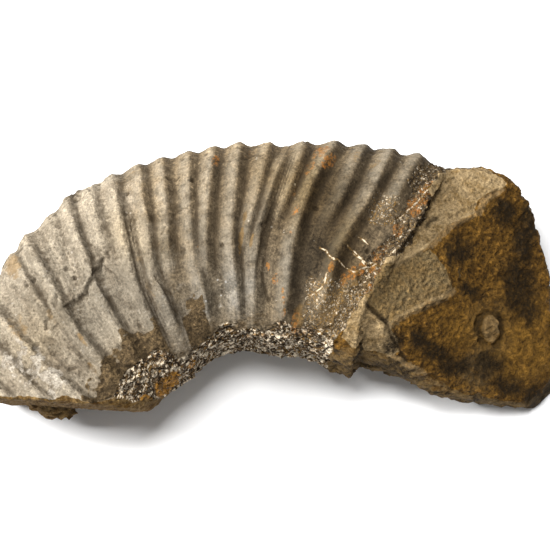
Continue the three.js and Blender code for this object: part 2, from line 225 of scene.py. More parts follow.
# Outlines of the kinds of break on the bare rock, in plan, in the order they take their share.
ROCK_ZONES = {
    "facet": (
        (94, 7), (100, 15), (107, 21), (109, 14), (108, 4), (106, -3), (103, -4), (99, 2),
    ),
    "drab": (
        (64, -6), (73, -4), (79, 0), (87, 5), (94, 6), (99, 2), (103, -4), (107, -11), (108, -17),
        (103, -21), (96, -24), (85, -30), (75, -35), (69, -40), (63, -35), (56, -30), (54, -20),
        (58, -10),
    ),
    "pale": (
        (104, 64), (118, 68), (132, 62), (143, 53), (141, 49), (132, 45), (125, 38), (123, 32), (114, 27),
        (107, 23), (100, 17), (94, 9), (87, 5), (79, 0), (71, -4), (60, -6), (70, 10), (83, 22), (90, 34),
        (96, 48),
    ),
    "shoulder": (
        (56, -20), (58, -29), (63, -35), (69, -40), (73, -47), (76, -54), (70, -55), (61, -53), (46, -52),
        (40, -46), (44, -36), (50, -26),
    ),
    "bevel": (
        (40, -52), (61, -54), (67, -55), (73, -57), (79, -60), (88, -63), (97, -66), (105, -69),
        (114, -72), (125, -74), (135, -75), (145, -76), (150, -95), (40, -95),
    ),
}
# Where the big break is golden, and where it is grey.
LIT_ZONE = (
    (104, -36), (118, -20), (134, -34), (150, -24), (160, -15), (172, -16), (178, -40), (174, -56),
    (158, -62), (144, -60), (128, -46), (114, -44),
)
GREY_ZONE = (
    (113, -59), (118, -52), (126, -48), (133, -49), (139, -54), (136, -62), (130, -69), (122, -71),
    (114, -68),
)
# Dark patches on the bare rock, in plan: the middle and how far each reaches along and across.
DARK_PATCHES = (
    ((152, -4), (13, 14)), ((154, 18), (9, 14)), ((158, -20), (8, 12)), ((150, -14), (10, 8)),
    ((71, -49), (6, 8)), ((106, 4), (4, 10)), ((114, 8), (6, 10)), ((141, 34), (9, 7)),
    ((118, -14), (8, 5)), ((88, -47), (7, 7)), ((158, 30), (7, 16)), ((110, -58), (12, 8)),
    ((133, -55), (12, 7)), ((97, -52), (9, 6)), ((146, -67), (15, 6)), ((163, -72), (9, 6)),
)

# Cracks on the bare rock, in plan: the line, its width and its relief.
ROCK_CRACKS = (
    (((55, -28), (58, -31), (61, -33), (64, -36), (67, -37), (70, -42)), 1.3, -2.4),
    (((64, -35), (67, -39), (70, -45), (73, -50), (76, -54), (79, -58)), 1.0, -2.0),
    (((92, 21), (94, 24), (96, 26), (99, 27)), 1.4, -1.5),
    (((159, -14), (161, -19), (164, -25)), 1.3, -1.2),
    (((146, 29), (149, 26), (151, 20)), 2.2, -1.6),
)
# Steps on the bare rock, in plan: the line, its drop and how far it runs.
ROCK_STEPS = (
    (((103, 25), (107, 29), (117, 35), (125, 39), (131, 44), (137, 48), (143, 51)), 1.2, 4.0),
    (((66, -7), (73, -4), (79, 0), (87, 5), (94, 7)), 1.1, 6.0),
    (((67, -41), (75, -35), (85, -30), (96, -24), (103, -21), (109, -16)), 0.9, 6.0),
    (((96, 34), (106, 50), (112, 48), (120, 45), (132, 46)), 0.6, 5.0),
)
# Pale, raised lips between the breaks; their pale colour also carries a painted highlight.
ROCK_LIPS = (
    (
        (72, -4), (80, 1), (88, 6), (95, 10), (102, 17), (108, 23), (117, 28), (125, 32), (129, 40),
        (139, 47),
    ),
    ((69, -40), (75, -35), (85, -30), (96, -24), (103, -21), (108, -17)),
    ((70, -56), (79, -60), (88, -63), (97, -66), (105, -69), (114, -72), (128, -75)),
)
LIP_WIDTH = 1.5
LIP_RISE = 0.7
KNOB_AT = (133.5, -34)
KNOB_HALF_WIDTH = 6.6
KNOB_HALF_LENGTH = 9.0

# Bundles of sharp growth lines: rib count from the first crest, width in ribs, lines to a rib,
# relief, and the span of the whorl's height.
LINE_BUNDLES = (
    (9.25, 0.30, 7, 0.30, 0.15, 0.80),
    (16.6, 0.42, 6, 0.42, 0.50, 0.90),
    (16.3, 0.30, 6, 0.30, 0.15, 0.50),
    (14.4, 0.30, 6, 0.16, 0.12, 0.40),
    (12.5, 0.30, 6, 0.14, 0.12, 0.40),
)
# Directions of the rock's layers and of its combed grain: along, across and through.
BEDDING = np.array([(0.75, -0.62, 0.25), (0.05, 0.42, 0.91), (-0.66, -0.66, 0.34)])
COMBED = np.array([(0.6, 0.8, 0.0), (0.8, -0.6, 0.0), (0.0, 0.0, 1.0)])

LEAST_TONE = 0.35  # the darkest that patches which lie on each other make it
# Broad lighter and darker patches of the ribbed surface: angle, fraction of the whorl's height,
# reach along and across the whorl, and how much lighter and how much warmer it is.
TONES = (
    (73.0, 0.46, 16, 32, -0.58, 0.0), (79.5, 0.62, 13, 26, -0.55, 0.0), (75.5, 0.74, 14, 18, -0.35, 0.0),
    (119, 0.48, 26, 20, -0.30, 0.0), (115, 0.25, 18, 14, -0.40, 0.0), (132, 0.50, 24, 22, -0.28, 0.0),
    (103, 0.74, 24, 20, 0.42, 0.0), (111, 0.84, 18, 14, 0.25, 0.0), (119, 0.70, 12, 10, 0.15, 0.0),
    (91, 0.18, 20, 12, 0.30, 0.0), (69, 0.22, 14, 14, 0.95, 0.3), (133, 0.83, 30, 14, -0.15, 0.0),
    (96, 0.09, 26, 9, 0.70, 0.0), (107, 0.15, 14, 10, 0.35, 0.0), (93, 0.97, 44, 9, 0.60, 0.3),
    (118, 0.92, 30, 10, 0.15, 0.0), (80.3, 0.70, 17, 26, 0.0, 1.3), (72.5, 0.50, 12, 22, 0.0, 1.0),
    (71.2, 0.36, 12, 12, -0.20, 0.6), (96, 0.22, 40, 24, 0.0, -0.9), (88, 0.78, 16, 20, 0.0, 0.6),
    (126, 0.15, 30, 18, 0.0, 0.7), (108.5, 0.56, 10, 18, -0.25, 0.3), (77.5, 0.32, 11, 18, -0.38, 0.0),
    (84.0, 0.20, 12, 16, -0.18, 0.5), (140, 0.60, 18, 18, 0.0, 0.4), (114, 0.66, 10, 18, 0.0, 0.5),
    (66.5, 0.82, 10, 14, -0.20, 0.2),
)
WARM_CHANGE = (0.07, -0.035, -0.24)  # change of red, green and blue in a warm patch
# Stains on the ribbed surface: angle, fraction of the whorl's height, size and strength.
RUST = (
    (79.9, 0.91, 5.5, 0.8), (78.4, 0.86, 5.0, 0.8), (81.2, 0.82, 5.0, 0.6), (83.0, 0.69, 3.2, 0.6),
    (82.4, 0.60, 3.6, 0.7), (82.8, 0.49, 2.6, 0.5), (85.1, 0.29, 2.4, 1.3), (87.1, 0.345, 2.2, 1.1),
    (82.9, 0.24, 1.8, 1.0), (82.5, 0.20, 1.8, 1.0), (82.1, 0.155, 2.2, 1.1), (78.7, 0.12, 5.0, 0.9),
    (96.2, 0.88, 3.6, 0.8), (91.0, 0.90, 4.5, 0.4), (73.2, 0.36, 2.6, 1.2), (61.8, 0.83, 3.6, 1.2),
    (62.8, 0.79, 3.2, 1.2), (63.8, 0.73, 3.4, 0.9), (63.8, 0.60, 3.2, 1.0), (65.2, 0.49, 3.0, 1.1),
    (67.0, 0.395, 3.4, 1.2), (65.0, 0.41, 3.0, 1.2), (63.4, 0.40, 3.0, 1.2), (68.4, 0.36, 3.2, 1.1),
    (64.9, 0.455, 3.6, 1.2), (69.0, 0.345, 3.4, 1.1), (62.6, 0.70, 3.0, 1.0), (62.2, 0.76, 3.0, 1.1),
    (69.9, 0.33, 3.2, 0.9), (63.6, 0.32, 3.0, 0.9), (62.0, 0.13, 3.6, 0.6), (101.6, 0.47, 1.6, 0.7),
)
OCHRE = (
    (92.6, 0.48, 3.4, 0.9), (91.9, 0.56, 3.0, 0.7), (90.6, 0.45, 3.2, 0.9), (93.0, 0.42, 3.0, 0.7),
    (113.2, 0.55, 6.0, 0.4), (114.4, 0.38, 6.0, 0.4), (140.5, 0.72, 7.0, 0.5), (132.6, 0.92, 6.0, 0.7),
    (134.5, 0.60, 4.5, 0.5), (69.2, 0.20, 8.0, 0.8), (71.5, 0.13, 8.0, 0.7), (78.0, 0.10, 8.0, 0.8),
    (67.0, 0.30, 6.0, 0.6), (65.4, 0.34, 7.0, 0.8), (64.4, 0.24, 8.0, 0.8), (74.6, 0.90, 4.5, 0.5),
    (71.5, 0.86, 4.5, 0.5), (109.0, 0.95, 8.0, 0.4), (133.2, 0.42, 4.0, 0.6), (136.0, 0.30, 5.0, 0.5),
)
WALL_OCHRE = (
    ((120.9, 0.02), 7.5), ((118.3, 0.03), 6.5), ((123.6, 0.03), 6.0), ((110.2, 0.015), 6.5),
    ((130.4, 0.04), 5.0),
)
# White veins, each a line of (angle, fraction of the whorl's height).
VEINS = (
    ((71.3, 0.465), (70.0, 0.455), (68.8, 0.44), (67.6, 0.43), (66.6, 0.42), (65.6, 0.43), (64.4, 0.43)),
    ((69.6, 0.44), (68.1, 0.43), (66.9, 0.41)),
    ((70.0, 0.52), (68.8, 0.51), (67.7, 0.50)),
    ((72.4, 0.395), (70.8, 0.38), (69.3, 0.37), (67.9, 0.37)),
    ((76.6, 0.44), (75.2, 0.43), (73.9, 0.40), (73.0, 0.39)),
    ((73.7, 0.33), (73.6, 0.29), (73.8, 0.265), (74.6, 0.25), (75.9, 0.23)),
    ((74.9, 0.245), (74.3, 0.22), (73.9, 0.20)),
    ((68.4, 0.36), (67.0, 0.39), (65.8, 0.41), (64.6, 0.43), (63.3, 0.42), (62.6, 0.40)),
    (
        (62.1, 0.84), (62.6, 0.81), (62.9, 0.78), (63.0, 0.74), (63.3, 0.72), (63.7, 0.70), (64.2, 0.67),
        (64.8, 0.64),
    ),
    ((62.6, 0.52), (63.2, 0.49), (63.6, 0.46), (64.0, 0.43)),
)
# How far from their lines the finishes reach, in millimetres: the painted shade of cracks, the pale colour
# and painted highlight of lips, and the colour of veins.
CRACK_SHADE = 2.2
LIP_SHADE = 4.0
VEIN_SHADE = 2.4
LINE_WANDERS = 9  # how far out a line's wander still counts
DARK_WAVER = 7
# Times that the surface is evened out to tell close hollows and broad ones, for the painted shade in
# hollows and the painted highlight on high spots.
CLOSE_HOLLOWS = 3
BROAD_HOLLOWS = 20

# Finishes of the breaks, in the order they are laid: the mask, the size and raggedness of its
# edge, the pale and the deep colour, the sizes of the patches and the grain, the contrast and the
# relief.
BREAK_FINISHES = (
    ("bare_rock", 1.5, 0.3, "rock_drab", "rock_dark_and_shade", 9.0, 1.3, 1.8, 2.0),
    ("bedded_break", 4.0, 0.6, "rock_drab", "rock_deep", 8.0, 1.6, 2.6, 2.2),
    ("shoulder", 4.0, 0.6, "rock_pale", "rock_drab", 11.0, 1.6, 3.0, 2.2),
    ("pale_break", 2.5, 0.5, "rock_pale", "rock_drab", 16.0, 1.8, 2.8, 2.0),
    ("drab_break", 2.5, 0.5, "rock_drab", "rock_grey", 9.0, 1.8, 3.4, 2.6),
    ("brown_break", 4.0, 0.9, "rock_brown", "rock_deep", 10.0, 2.2, 4.4, 3.0),
)
# Growth lines and wall crystals: their size along the whorl, across it and through it.
FINE_LINE = (1.0, 14.0, 14.0)
WIDE_LINE = (4.0, 40.0, 40.0)
WALL_STRETCH = (1.9, 1.0, 1.0)
DULL = 0.85  # roughness of the stone, and of its crystals where they glint
GLINTING = 0.38
SHEEN = 0.12  # how strongly the stone mirrors what is round it

# Thinning of what hardly shows: the levels it is done in, the least of it, how much it tells, and
# the facings and heights over the middle plane between which the underside sets in.
THINNING_LEVELS = 8
LEAST_THINNING = 0.4
THINNING_PULL = 0.05
HIDDEN_FACING = (-0.45, 0.1)
HIDDEN_SIDE = (-30, 0)

# ------------------------------------------------------------ sizes and colours a user would change


def length_property(name, description, value, **limits):
    return bpy.props.FloatProperty(
        name=name, description=description, default=value, subtype="DISTANCE", unit="LENGTH", **limits
    )


def angle_property(name, description, degrees):
    return bpy.props.FloatProperty(
        name=name, description=description, default=math.radians(degrees), subtype="ANGLE", unit="ROTATION"
    )


def strength_property(name, description, value, **settings):
    return bpy.props.FloatProperty(name=name, description=description, default=value, min=0.0, **settings)


def colour_property(name, description, value):
    return bpy.props.FloatVectorProperty(
        name=name, description=description, default=value, size=3, min=0.0, max=1.0, subtype="COLOR"
    )


class FossilSizes(bpy.types.PropertyGroup):
    half_thickness: length_property(
        "Half thickness", "Half the whorl's thickness, straight behind the coil axis",
        47 * MM, min=20 * MM, max=90 * MM,
    )
    layer_thickness: length_property(
        "Ribbed layer", "How far the bare rock lies under the ribbed surface", 1.8 * MM, min=0.0, max=8 * MM
    )
    rib_relief: strength_property(
        "Rib relief", "Height of the ribs against their usual height", 1.15, max=2.0, subtype="FACTOR"
    )
    grain: length_property(
        "Mesh grain", "Distance between the points of the carved mesh", 0.9 * MM, min=0.5 * MM, max=4 * MM
    )
    triangles: bpy.props.IntProperty(
        name="Triangles", description="How many triangles the finished mesh keeps",
        default=194_000, min=10_000, max=199_000,
    )


class FossilFinish(bpy.types.PropertyGroup):
    skin_pale: colour_property("Pale skin", "Light beige of the ribbed surface", (0.272, 0.228, 0.166))
    skin_grey: colour_property("Grey skin", "Duller patches of the ribbed surface", (0.165, 0.132, 0.092))
    skin_tan: colour_property("Tan skin", "Tan patches of the ribbed surface", (0.150, 0.110, 0.064))
    skin_dark: colour_property("Dark skin", "Brown skin near the aperture", (0.052, 0.038, 0.022))
    # Painted shade for the steep sides of the ribs and for the hollows, and the colour of small dark
    # specks.
    hollow_shade_and_dirt: colour_property("Hollows", "Dirt that stays in the hollows", (0.034, 0.023, 0.012))
    # Colour of the painted highlight on the lit side of each rib's crest.
    crest: colour_property("Crests", "Rubbed crests of the ribs", (0.34, 0.29, 0.215))
    earth: colour_property("Earth", "Brown crust of old mud", (0.045, 0.030, 0.015))
    mud: colour_property("Dry mud", "Lighter patches of the old mud", (0.130, 0.087, 0.042))
    chalk: colour_property("Chalk", "White, powdery patches", (0.38, 0.335, 0.27))
    crystal_dark: colour_property("Dark crystal", "Black-brown crystals", (0.024, 0.015, 0.008))
    # Brown of the wall crystals: partly their own colour, partly painted light, as the wall faces away from
    # the lamps.
    crystal_brown: colour_property("Brown crystal", "Brown crystals of the wall", (0.25, 0.165, 0.090))
    crystal_pale: colour_property("Pale crystal", "White calcite flecks", (0.70, 0.59, 0.43))
    iron: colour_property("Iron stain", "Orange rust", (0.33, 0.115, 0.016))
    gold: colour_property("Golden ochre", "Bright ochre blocks of the wall", (0.46, 0.215, 0.030))
    ochre: colour_property("Ochre", "Yellow-brown stain", (0.185, 0.105, 0.030))
    rock_pale: colour_property("Pale rock", "Fresh, pale break", (0.325, 0.232, 0.120))
    rock_drab: colour_property("Drab rock", "Coarse, drab break", (0.174, 0.109, 0.041))
    rock_grey: colour_property("Grey rock", "Greyer, weathered break", (0.155, 0.110, 0.052))
    rock_shade: colour_property("Shaded rock", "Dark grey patch of the big break", (0.090, 0.066, 0.034))
    rock_gold: colour_property("Golden rock", "Golden brown, weathered break", (0.30, 0.155, 0.026))
    rock_brown: colour_property("Brown rock", "Big iron-brown break", (0.172, 0.086, 0.015))
    rock_deep: colour_property("Deep brown rock", "Deeper brown in the breaks", (0.075, 0.036, 0.006))
    # Dark patches and specks of the rock, and painted shadow on the corner facet, in the knob's moat and
    # along the cracks.
    rock_dark_and_shade: colour_property("Dark rock", "Near-black patches and corners", (0.017, 0.0105, 0.004))


class FossilStage(bpy.types.PropertyGroup):
    floor: colour_property("Floor", "Pale floor", (0.90, 0.90, 0.90))
    floor_size: length_property("Floor size", "Length of the floor's side", 8.0)
    lamp_distance: length_property("Lamp distance", "From the piece to each lamp", 1.7)
    lamp_size: length_property("Lamp size", "Side of each soft lamp", 0.48)
    key_power: strength_property("Side light", "Power of the soft lamp at the side, in watts", 46.0)
    key_direction: angle_property("Side light direction", "Direction of the side lamp, from +X", 171)
    key_height: angle_property("Side light height", "Height of the side lamp above the floor", 36)
    top_power: strength_property("Top light", "Power of the soft lamp overhead, in watts", 31.0)
    top_direction: angle_property("Top light direction", "Direction of the top lamp, from +X", 132)
    top_height: angle_property("Top light height", "Height of the top lamp above the floor", 79)
    fill: strength_property("Fill", "Strength of the even light all round", 0.30)
    camera_elevation: angle_property("Camera height", "How steeply the camera looks down", 76)
    camera_distance: length_property("Camera distance", "From the camera to its target", 1.1)
    camera_lens: strength_property("Lens", "Focal length in millimetres", 116.0)
    camera_target: bpy.props.FloatVectorProperty(
        name="Target", description="The point the camera looks at",
        default=(-0.3 * MM, 1.8 * MM, 46 * MM), size=3, subtype="XYZ", unit="LENGTH",
    )


# ------------------------------------------------------------ curves, noise and distances


def smooth_step(low, high, value):
    t = np.clip((value - low) / (high - low), 0, 1)
    return t * t * (3 - 2 * t)


def blend(first, second, amount):
    return first + (second - first) * amount


def unit(vector):
    vector = np.asarray(vector, float)
    return vector / np.linalg.norm(vector)


def curve_through(points):
    """Smooth curve through (input, output) points, held flat past its ends."""
    inputs, outputs = np.array(sorted(points), float).T
    last = len(inputs) - 1
    before = np.maximum(np.arange(last + 1) - 1, 0)
    after = np.minimum(np.arange(last + 1) + 1, last)
    slopes = (outputs[after] - outputs[before]) / (inputs[after] - inputs[before])

    def curve(value):
        x = np.clip(value, inputs[0], inputs[-1])
        right = np.clip(np.searchsorted(inputs, x), 1, last)
        left = right - 1
        span = inputs[right] - inputs[left]
        t = (x - inputs[left]) / span
        bend = ((1 - t) * slopes[left] - t * slopes[right]) * span
        chord = (outputs[right] - outputs[left]) * (1 - 2 * t)
        return blend(outputs[left], outputs[right], t) + (bend - chord) * t * (1 - t)

    return curve


LINE_END = 0.18  # share of a line over which each end dies out
CORNERS = tuple(itertools.product((0, 1), repeat=3))
AROUND = tuple(itertools.product((-1, 0, 1), repeat=3))
TABLE = 256  # entries in a noise's tables
SMOOTH_GAIN = 1.6  # brings rolling noise to about -1 to 1
LAYER_SHIFT = 17.3  # keeps the finer layers apart from the first
FAR = 1e9
LEAST_RUN = 1e-9


class Noise:
    """Repeatable random fields over points, for carving and for spreading patches."""

    def __init__(self, seed):
        rng = np.random.default_rng(seed)
        self.order = rng.permutation(TABLE)
        self.directions = rng.normal(size=(TABLE, 3)).astype(np.float32)
        self.directions /= np.linalg.norm(self.directions, axis=1, keepdims=True)
        self.places = rng.random((TABLE, 3)).astype(np.float32)

    def pick(self, cell):
        order = self.order
        row = order[cell[:, 0] % TABLE]
        row = order[(row + cell[:, 1]) % TABLE]
        return order[(row + cell[:, 2]) % TABLE]

    def smooth(self, points):
        """Rolling noise, about -1 to 1, with one swell to a unit of length."""
        cell = np.floor(points).astype(np.int64)
        inside = (points - cell).astype(np.float32)
        ease = inside**3 * (inside * (inside * 6 - 15) + 10)
        total = np.zeros(len(points), np.float32)
        for corner in CORNERS:
            near = np.array(corner)
            weight = np.prod(np.where(near == 1, ease, 1 - ease), axis=1)
            slope = self.directions[self.pick(cell + near)]
            total += weight * np.sum(slope * (inside - near), axis=1)
        return total * SMOOTH_GAIN

    def layered(self, points, layers, gain=0.5):
        """Rolling noise with finer and finer noise on it."""
        total = np.zeros(len(points), np.float32)
        strengths = [gain**layer for layer in range(layers)]
        for layer, strength in enumerate(strengths):
            total += strength * self.smooth(points * 2.0**layer + LAYER_SHIFT * layer)
        return total / sum(strengths)

    def grains(self, points):
        """Packed grains of about a unit: how far each point is in from its grain's edge, the slope
        that its grain's face has there, and a random value for the grain."""
        cell = np.floor(points).astype(np.int64)
        nearest = np.full(len(points), 9.0, np.float32)
        second = nearest.copy()
        offset = np.zeros((len(points), 3), np.float32)
        grain = np.zeros(len(points), np.int64)
        for step in AROUND:
            row = self.pick(cell + np.array(step))
            away = (points - cell - np.array(step)).astype(np.float32) - self.places[row]
            distance = np.linalg.norm(away, axis=1)
            closer = distance < nearest
            second = np.where(closer, nearest, np.minimum(second, distance))
            nearest = np.where(closer, distance, nearest)
            offset[closer] = away[closer]
            grain[closer] = row[closer]
        tilt = np.sum(self.directions[grain] * offset, axis=1)
        return second - nearest, tilt, self.places[grain, 0]


def line_distance(place, line):
    """Distance in plan from a line through points, which side (above 0 on the line's right), and
    how much of the line is there: 1 along its middle, 0 past its ends."""
    line = np.asarray(line, float)
    best = np.full(len(place), FAR)
    side = np.zeros(len(place))
    passed = np.zeros(len(place))
    lengths = np.linalg.norm(np.diff(line, axis=0), axis=1)
    starts = np.concatenate([[0], np.cumsum(lengths)])
    for start, end, length, before in zip(line[:-1], line[1:], lengths, starts):
        run = end - start
        away = place - start
        along = np.clip(away @ run / length**2, 0, 1)
        distance = np.linalg.norm(away - along[:, None] * run, axis=1)
        across = (away[:, 0] * run[1] - away[:, 1] * run[0]) / length
        closer = distance < best
        best = np.where(closer, distance, best)
        side = np.where(closer, np.sign(across), side)
        passed = np.where(closer, before + along * length, passed)
    whole = starts[-1]
    fade = LINE_END * whole
    return best, side, smooth_step(0, fade, passed) * smooth_step(whole, whole - fade, passed)


def inside_outline(place, outline, fade):
    """1 inside a closed outline in plan, falling to 0 across its edge."""
    corners = np.array(outline, float)
    inside = np.zeros(len(place), bool)
    nearest = np.full(len(place), FAR)
    for start, end in zip(corners, np.roll(corners, -1, axis=0)):
        run = end - start
        away = place - start
        along = np.clip(away @ run / (run @ run), 0, 1)
        nearest = np.minimum(nearest, np.hypot(*(away - along[:, None] * run).T))
        spans = (start[1] > place[:, 1]) != (end[1] > place[:, 1])
        crossing = start[0] + away[:, 1] * run[0] / (run[1] or LEAST_RUN)
        inside ^= spans & (place[:, 0] < crossing)
    return smooth_step(-fade, fade, np.where(inside, nearest, -nearest))


# ------------------------------------------------------------ the whorl's layout

venter = curve_through(VENTER)
umbilicus = curve_through(UMBILICUS)
rock_venter = curve_through(ROCK_VENTER)
rock_umbilicus = curve_through(ROCK_UMBILICUS)
smooth_layer_edge = curve_through(LAYER_EDGE)
thin_crust = curve_through(THIN_CRUST)
rib_profile = curve_through(RIB_PROFILE)
crests = [curve_through(zip(RIB_LEVELS, rib)) for rib in RIBS]


def layer_edge(height):
    waves = sum(size * np.sin(2 * np.pi * count * height + start) for size, count, start in TEARS)
    return smooth_layer_edge(height) + waves


def crest_angle(rib, height):
    """Angle of a rib's crest at a fraction of the whorl's height; past the last rib, the torn edge."""
    return layer_edge(height) if rib == len(RIBS) else crests[rib](height)


def crest_rise(rib, height):
    rise, foot, head = RIBS[rib][len(RIB_LEVELS):]
    stands = smooth_step(foot - RIB_FADE / 2, foot + RIB_FADE, height)
    return rise * stands * smooth_step(head + RIB_FADE / 2, head - RIB_FADE / 2, height)


def past_crest(rib, angle, height, radius):
    """How far a point lies past a rib's crest, towards the aperture, in millimetres of a usual rib."""
    past = np.radians(crest_angle(rib, height) - angle) * radius
    steep = smooth_step(*STEEP_ANGLES, angle) * smooth_step(*STEEP_HEIGHTS, height)
    steepness = blend(1, OLD_STEEPNESS, steep)
    return np.where(past > 0, past * steepness, past)


def rib_relief(angle, height, radius):
    """Height of the ribs over the smooth whorl."""
    relief = 0
    for rib in range(len(RIBS)):
        past = past_crest(rib, angle, height, radius)
        relief = np.maximum(relief, crest_rise(rib, height) * rib_profile(past))
    return relief * (1 + VENTER_LIFT * smooth_step(*VENTER_LEVELS, height))


def rib_count(angle, height):
    """How many ribs lie between the first crest and an angle, as a smooth count."""
    count = -np.clip(angle - crest_angle(0, height), 0, None) / OLD_RIB_STEP
    for rib in range(len(RIBS)):
        start = crest_angle(rib, height)
        end = crest_angle(rib + 1, height)
        count = count + np.clip((start - angle) / (start - end), 0, 1)
    return count


def on_whorl(marks):
    """Plan points of marks given as angle and fraction of the whorl's height."""
    angle, height = np.array(marks, float).T
    return about_coil(angle, blend(umbilicus(angle), venter(angle), height), 0)[:, :2]


def section(turn, half_height, half_breadth):
    """Point and outward direction of the section's outline: turn 0 is the venter, 0.25 the upper flank."""
    along = np.cos(2 * np.pi * turn)
    up = np.sin(2 * np.pi * turn)
    power = np.where(along > 0, VENTER_SQUARENESS, UMBILICUS_SQUARENESS)
    share_along = np.abs(along) / half_height
    share_up = np.abs(up) / half_breadth
    reach = (share_along**power + share_up**power) ** (-1 / power)
    out_along = np.sign(along) * (share_along * reach) ** (power - 1) / half_height
    out_up = np.sign(up) * (share_up * reach) ** (power - 1) / half_breadth
    size = np.hypot(out_along, out_up)
    return along * reach, up * reach, out_along / size, out_up / size


def about_coil(angle, radius, z):
    turn = np.radians(angle)
    x = COIL_AXIS[0] + radius * np.cos(turn)
    y = COIL_AXIS[1] + radius * np.sin(turn)
    return np.stack(np.broadcast_arrays(x, y, z), -1)


# ------------------------------------------------------------ the smooth solids


def closed_mesh(rings):
    """Closed mesh through rings of points, its two ends closed flat."""
    count, size = rings.shape[:2]
    here = np.arange(count * size).reshape(count, size)
    turned = np.roll(here, -1, axis=1)
    walls = np.stack([here[:-1], turned[:-1], turned[1:], here[1:]], -1).reshape(-1, 4)
    mesh = bpy.data.meshes.new("ring_solid")
    faces = [*walls.tolist(), here[0][::-1].tolist(), here[-1].tolist()]
    mesh.from_pydata(rings.reshape(-1, 3).tolist(), [], faces)
    return mesh


def break_off(work, at, out):
    """Removes what lies outside a break face, and closes the break."""
    everything = [*work.verts, *work.edges, *work.faces]
    cut = bmesh.ops.bisect_plane(work, geom=everything, plane_co=at, plane_no=out, clear_outer=True)
    rim = [part for part in cut["geom_cut"] if isinstance(part, bmesh.types.BMEdge)]
    bmesh.ops.holes_fill(work, edges=rim, sides=0)


def broken(mesh, breaks):
    work = bmesh.new()
    work.from_mesh(mesh)
    for at, out in breaks:
        break_off(work, at, out)
    work.to_mesh(mesh)
    work.free()
    return mesh


def half_breadth_at(angle, sizes):
    return sizes.half_thickness / MM * np.exp(BREADTH_GROWTH * np.radians(90 - angle))


def turns(count):
    return (np.arange(count) / count)[None]


def whorl_rings(rib, sizes):
    """Rings round the whorl, from one rib's crest up to the next one's."""
    last = rib == len(RIBS) - 1
    fraction = np.linspace(0, 1, STEPS_IN_RIB_GAP + last, endpoint=last)[:, None]
    middle = blend(crest_angle(rib, 0.5), crest_angle(rib + 1, 0.5), fraction)
    half_height = (venter(middle) - umbilicus(middle)) / 2
    along, up, out_along, out_up = section(turns(RING_POINTS), half_height, half_breadth_at(middle, sizes))
    height = (along / half_height + 1) / 2
    angle = blend(crest_angle(rib, height), crest_angle(rib + 1, height), fraction)
    radius = (venter(angle) + umbilicus(angle)) / 2 + along
    rise = rib_relief(angle, height, radius) * sizes.rib_relief
    groove = np.where(along < 0, GROOVE_DEPTH * np.exp(-((up / GROOVE_HALF_WIDTH) ** 2)), 0)
    return about_coil(angle, radius + rise * out_along + groove, MID_PLANE + up + rise * out_up)


def ribbed_whorl(sizes):
    rings = np.concatenate([whorl_rings(rib, sizes) for rib in range(len(RIBS))])
    return broken(closed_mesh(rings), OLD_BREAKS.values())


def rock_filling(sizes, breaks):
    """The rock that filled the whorl, just under the ribbed layer, broken along its faces."""
    angle = np.linspace(ROCK_VENTER[0][0], ROCK_VENTER[-1][0], ROCK_RINGS)[:, None]
    under = sizes.layer_thickness / MM / 2
    half_height = (rock_venter(angle) - rock_umbilicus(angle)) / 2
    along, up, _, _ = section(turns(ROCK_RING_POINTS), half_height, half_breadth_at(angle, sizes) - under)
    radius = (rock_venter(angle) + rock_umbilicus(angle)) / 2 + along
    rings = about_coil(angle, radius, MID_PLANE - under + up)
    return broken(closed_mesh(rings), breaks)


def lump(at, size):
    """Rough lump of rock that hangs on the inner wall."""
    work = bmesh.new()
    bmesh.ops.create_icosphere(work, subdivisions=3, radius=1)
    for vertex in work.verts:
        vertex.co = Vector(a + s * c for a, s, c in zip(at, size, vertex.co))
    mesh = bpy.data.meshes.new("lump")
    work.to_mesh(mesh)
    work.free()
    return mesh


def rough_blank(sizes):
    """All the solids as one mesh, still overlapping."""
    outside = list(ROCK_BREAKS.values())
    parts = [
        ribbed_whorl(sizes),
        rock_filling(sizes, [*outside, *BIG_FACE.values()]),
        rock_filling(sizes, [*outside, *LOBE_BREAKS.values()]),
        *(lump(at, size) for at, size in LUMPS),
    ]
    work = bmesh.new()
    for part in parts:
        work.from_mesh(part)
        bpy.data.meshes.remove(part)
    break_off(work, *GROUND)
    bmesh.ops.transform(work, matrix=Matrix.Scale(MM, 4), verts=work.verts)
    mesh = bpy.data.meshes.new(PIECE)
    work.to_mesh(mesh)
    work.free()
    return mesh


# ------------------------------------------------------------ the carved surface

SKIN = Noise(11)
STONE = Noise(23)
PATCHES = Noise(37)
CRYSTALS = Noise(41)

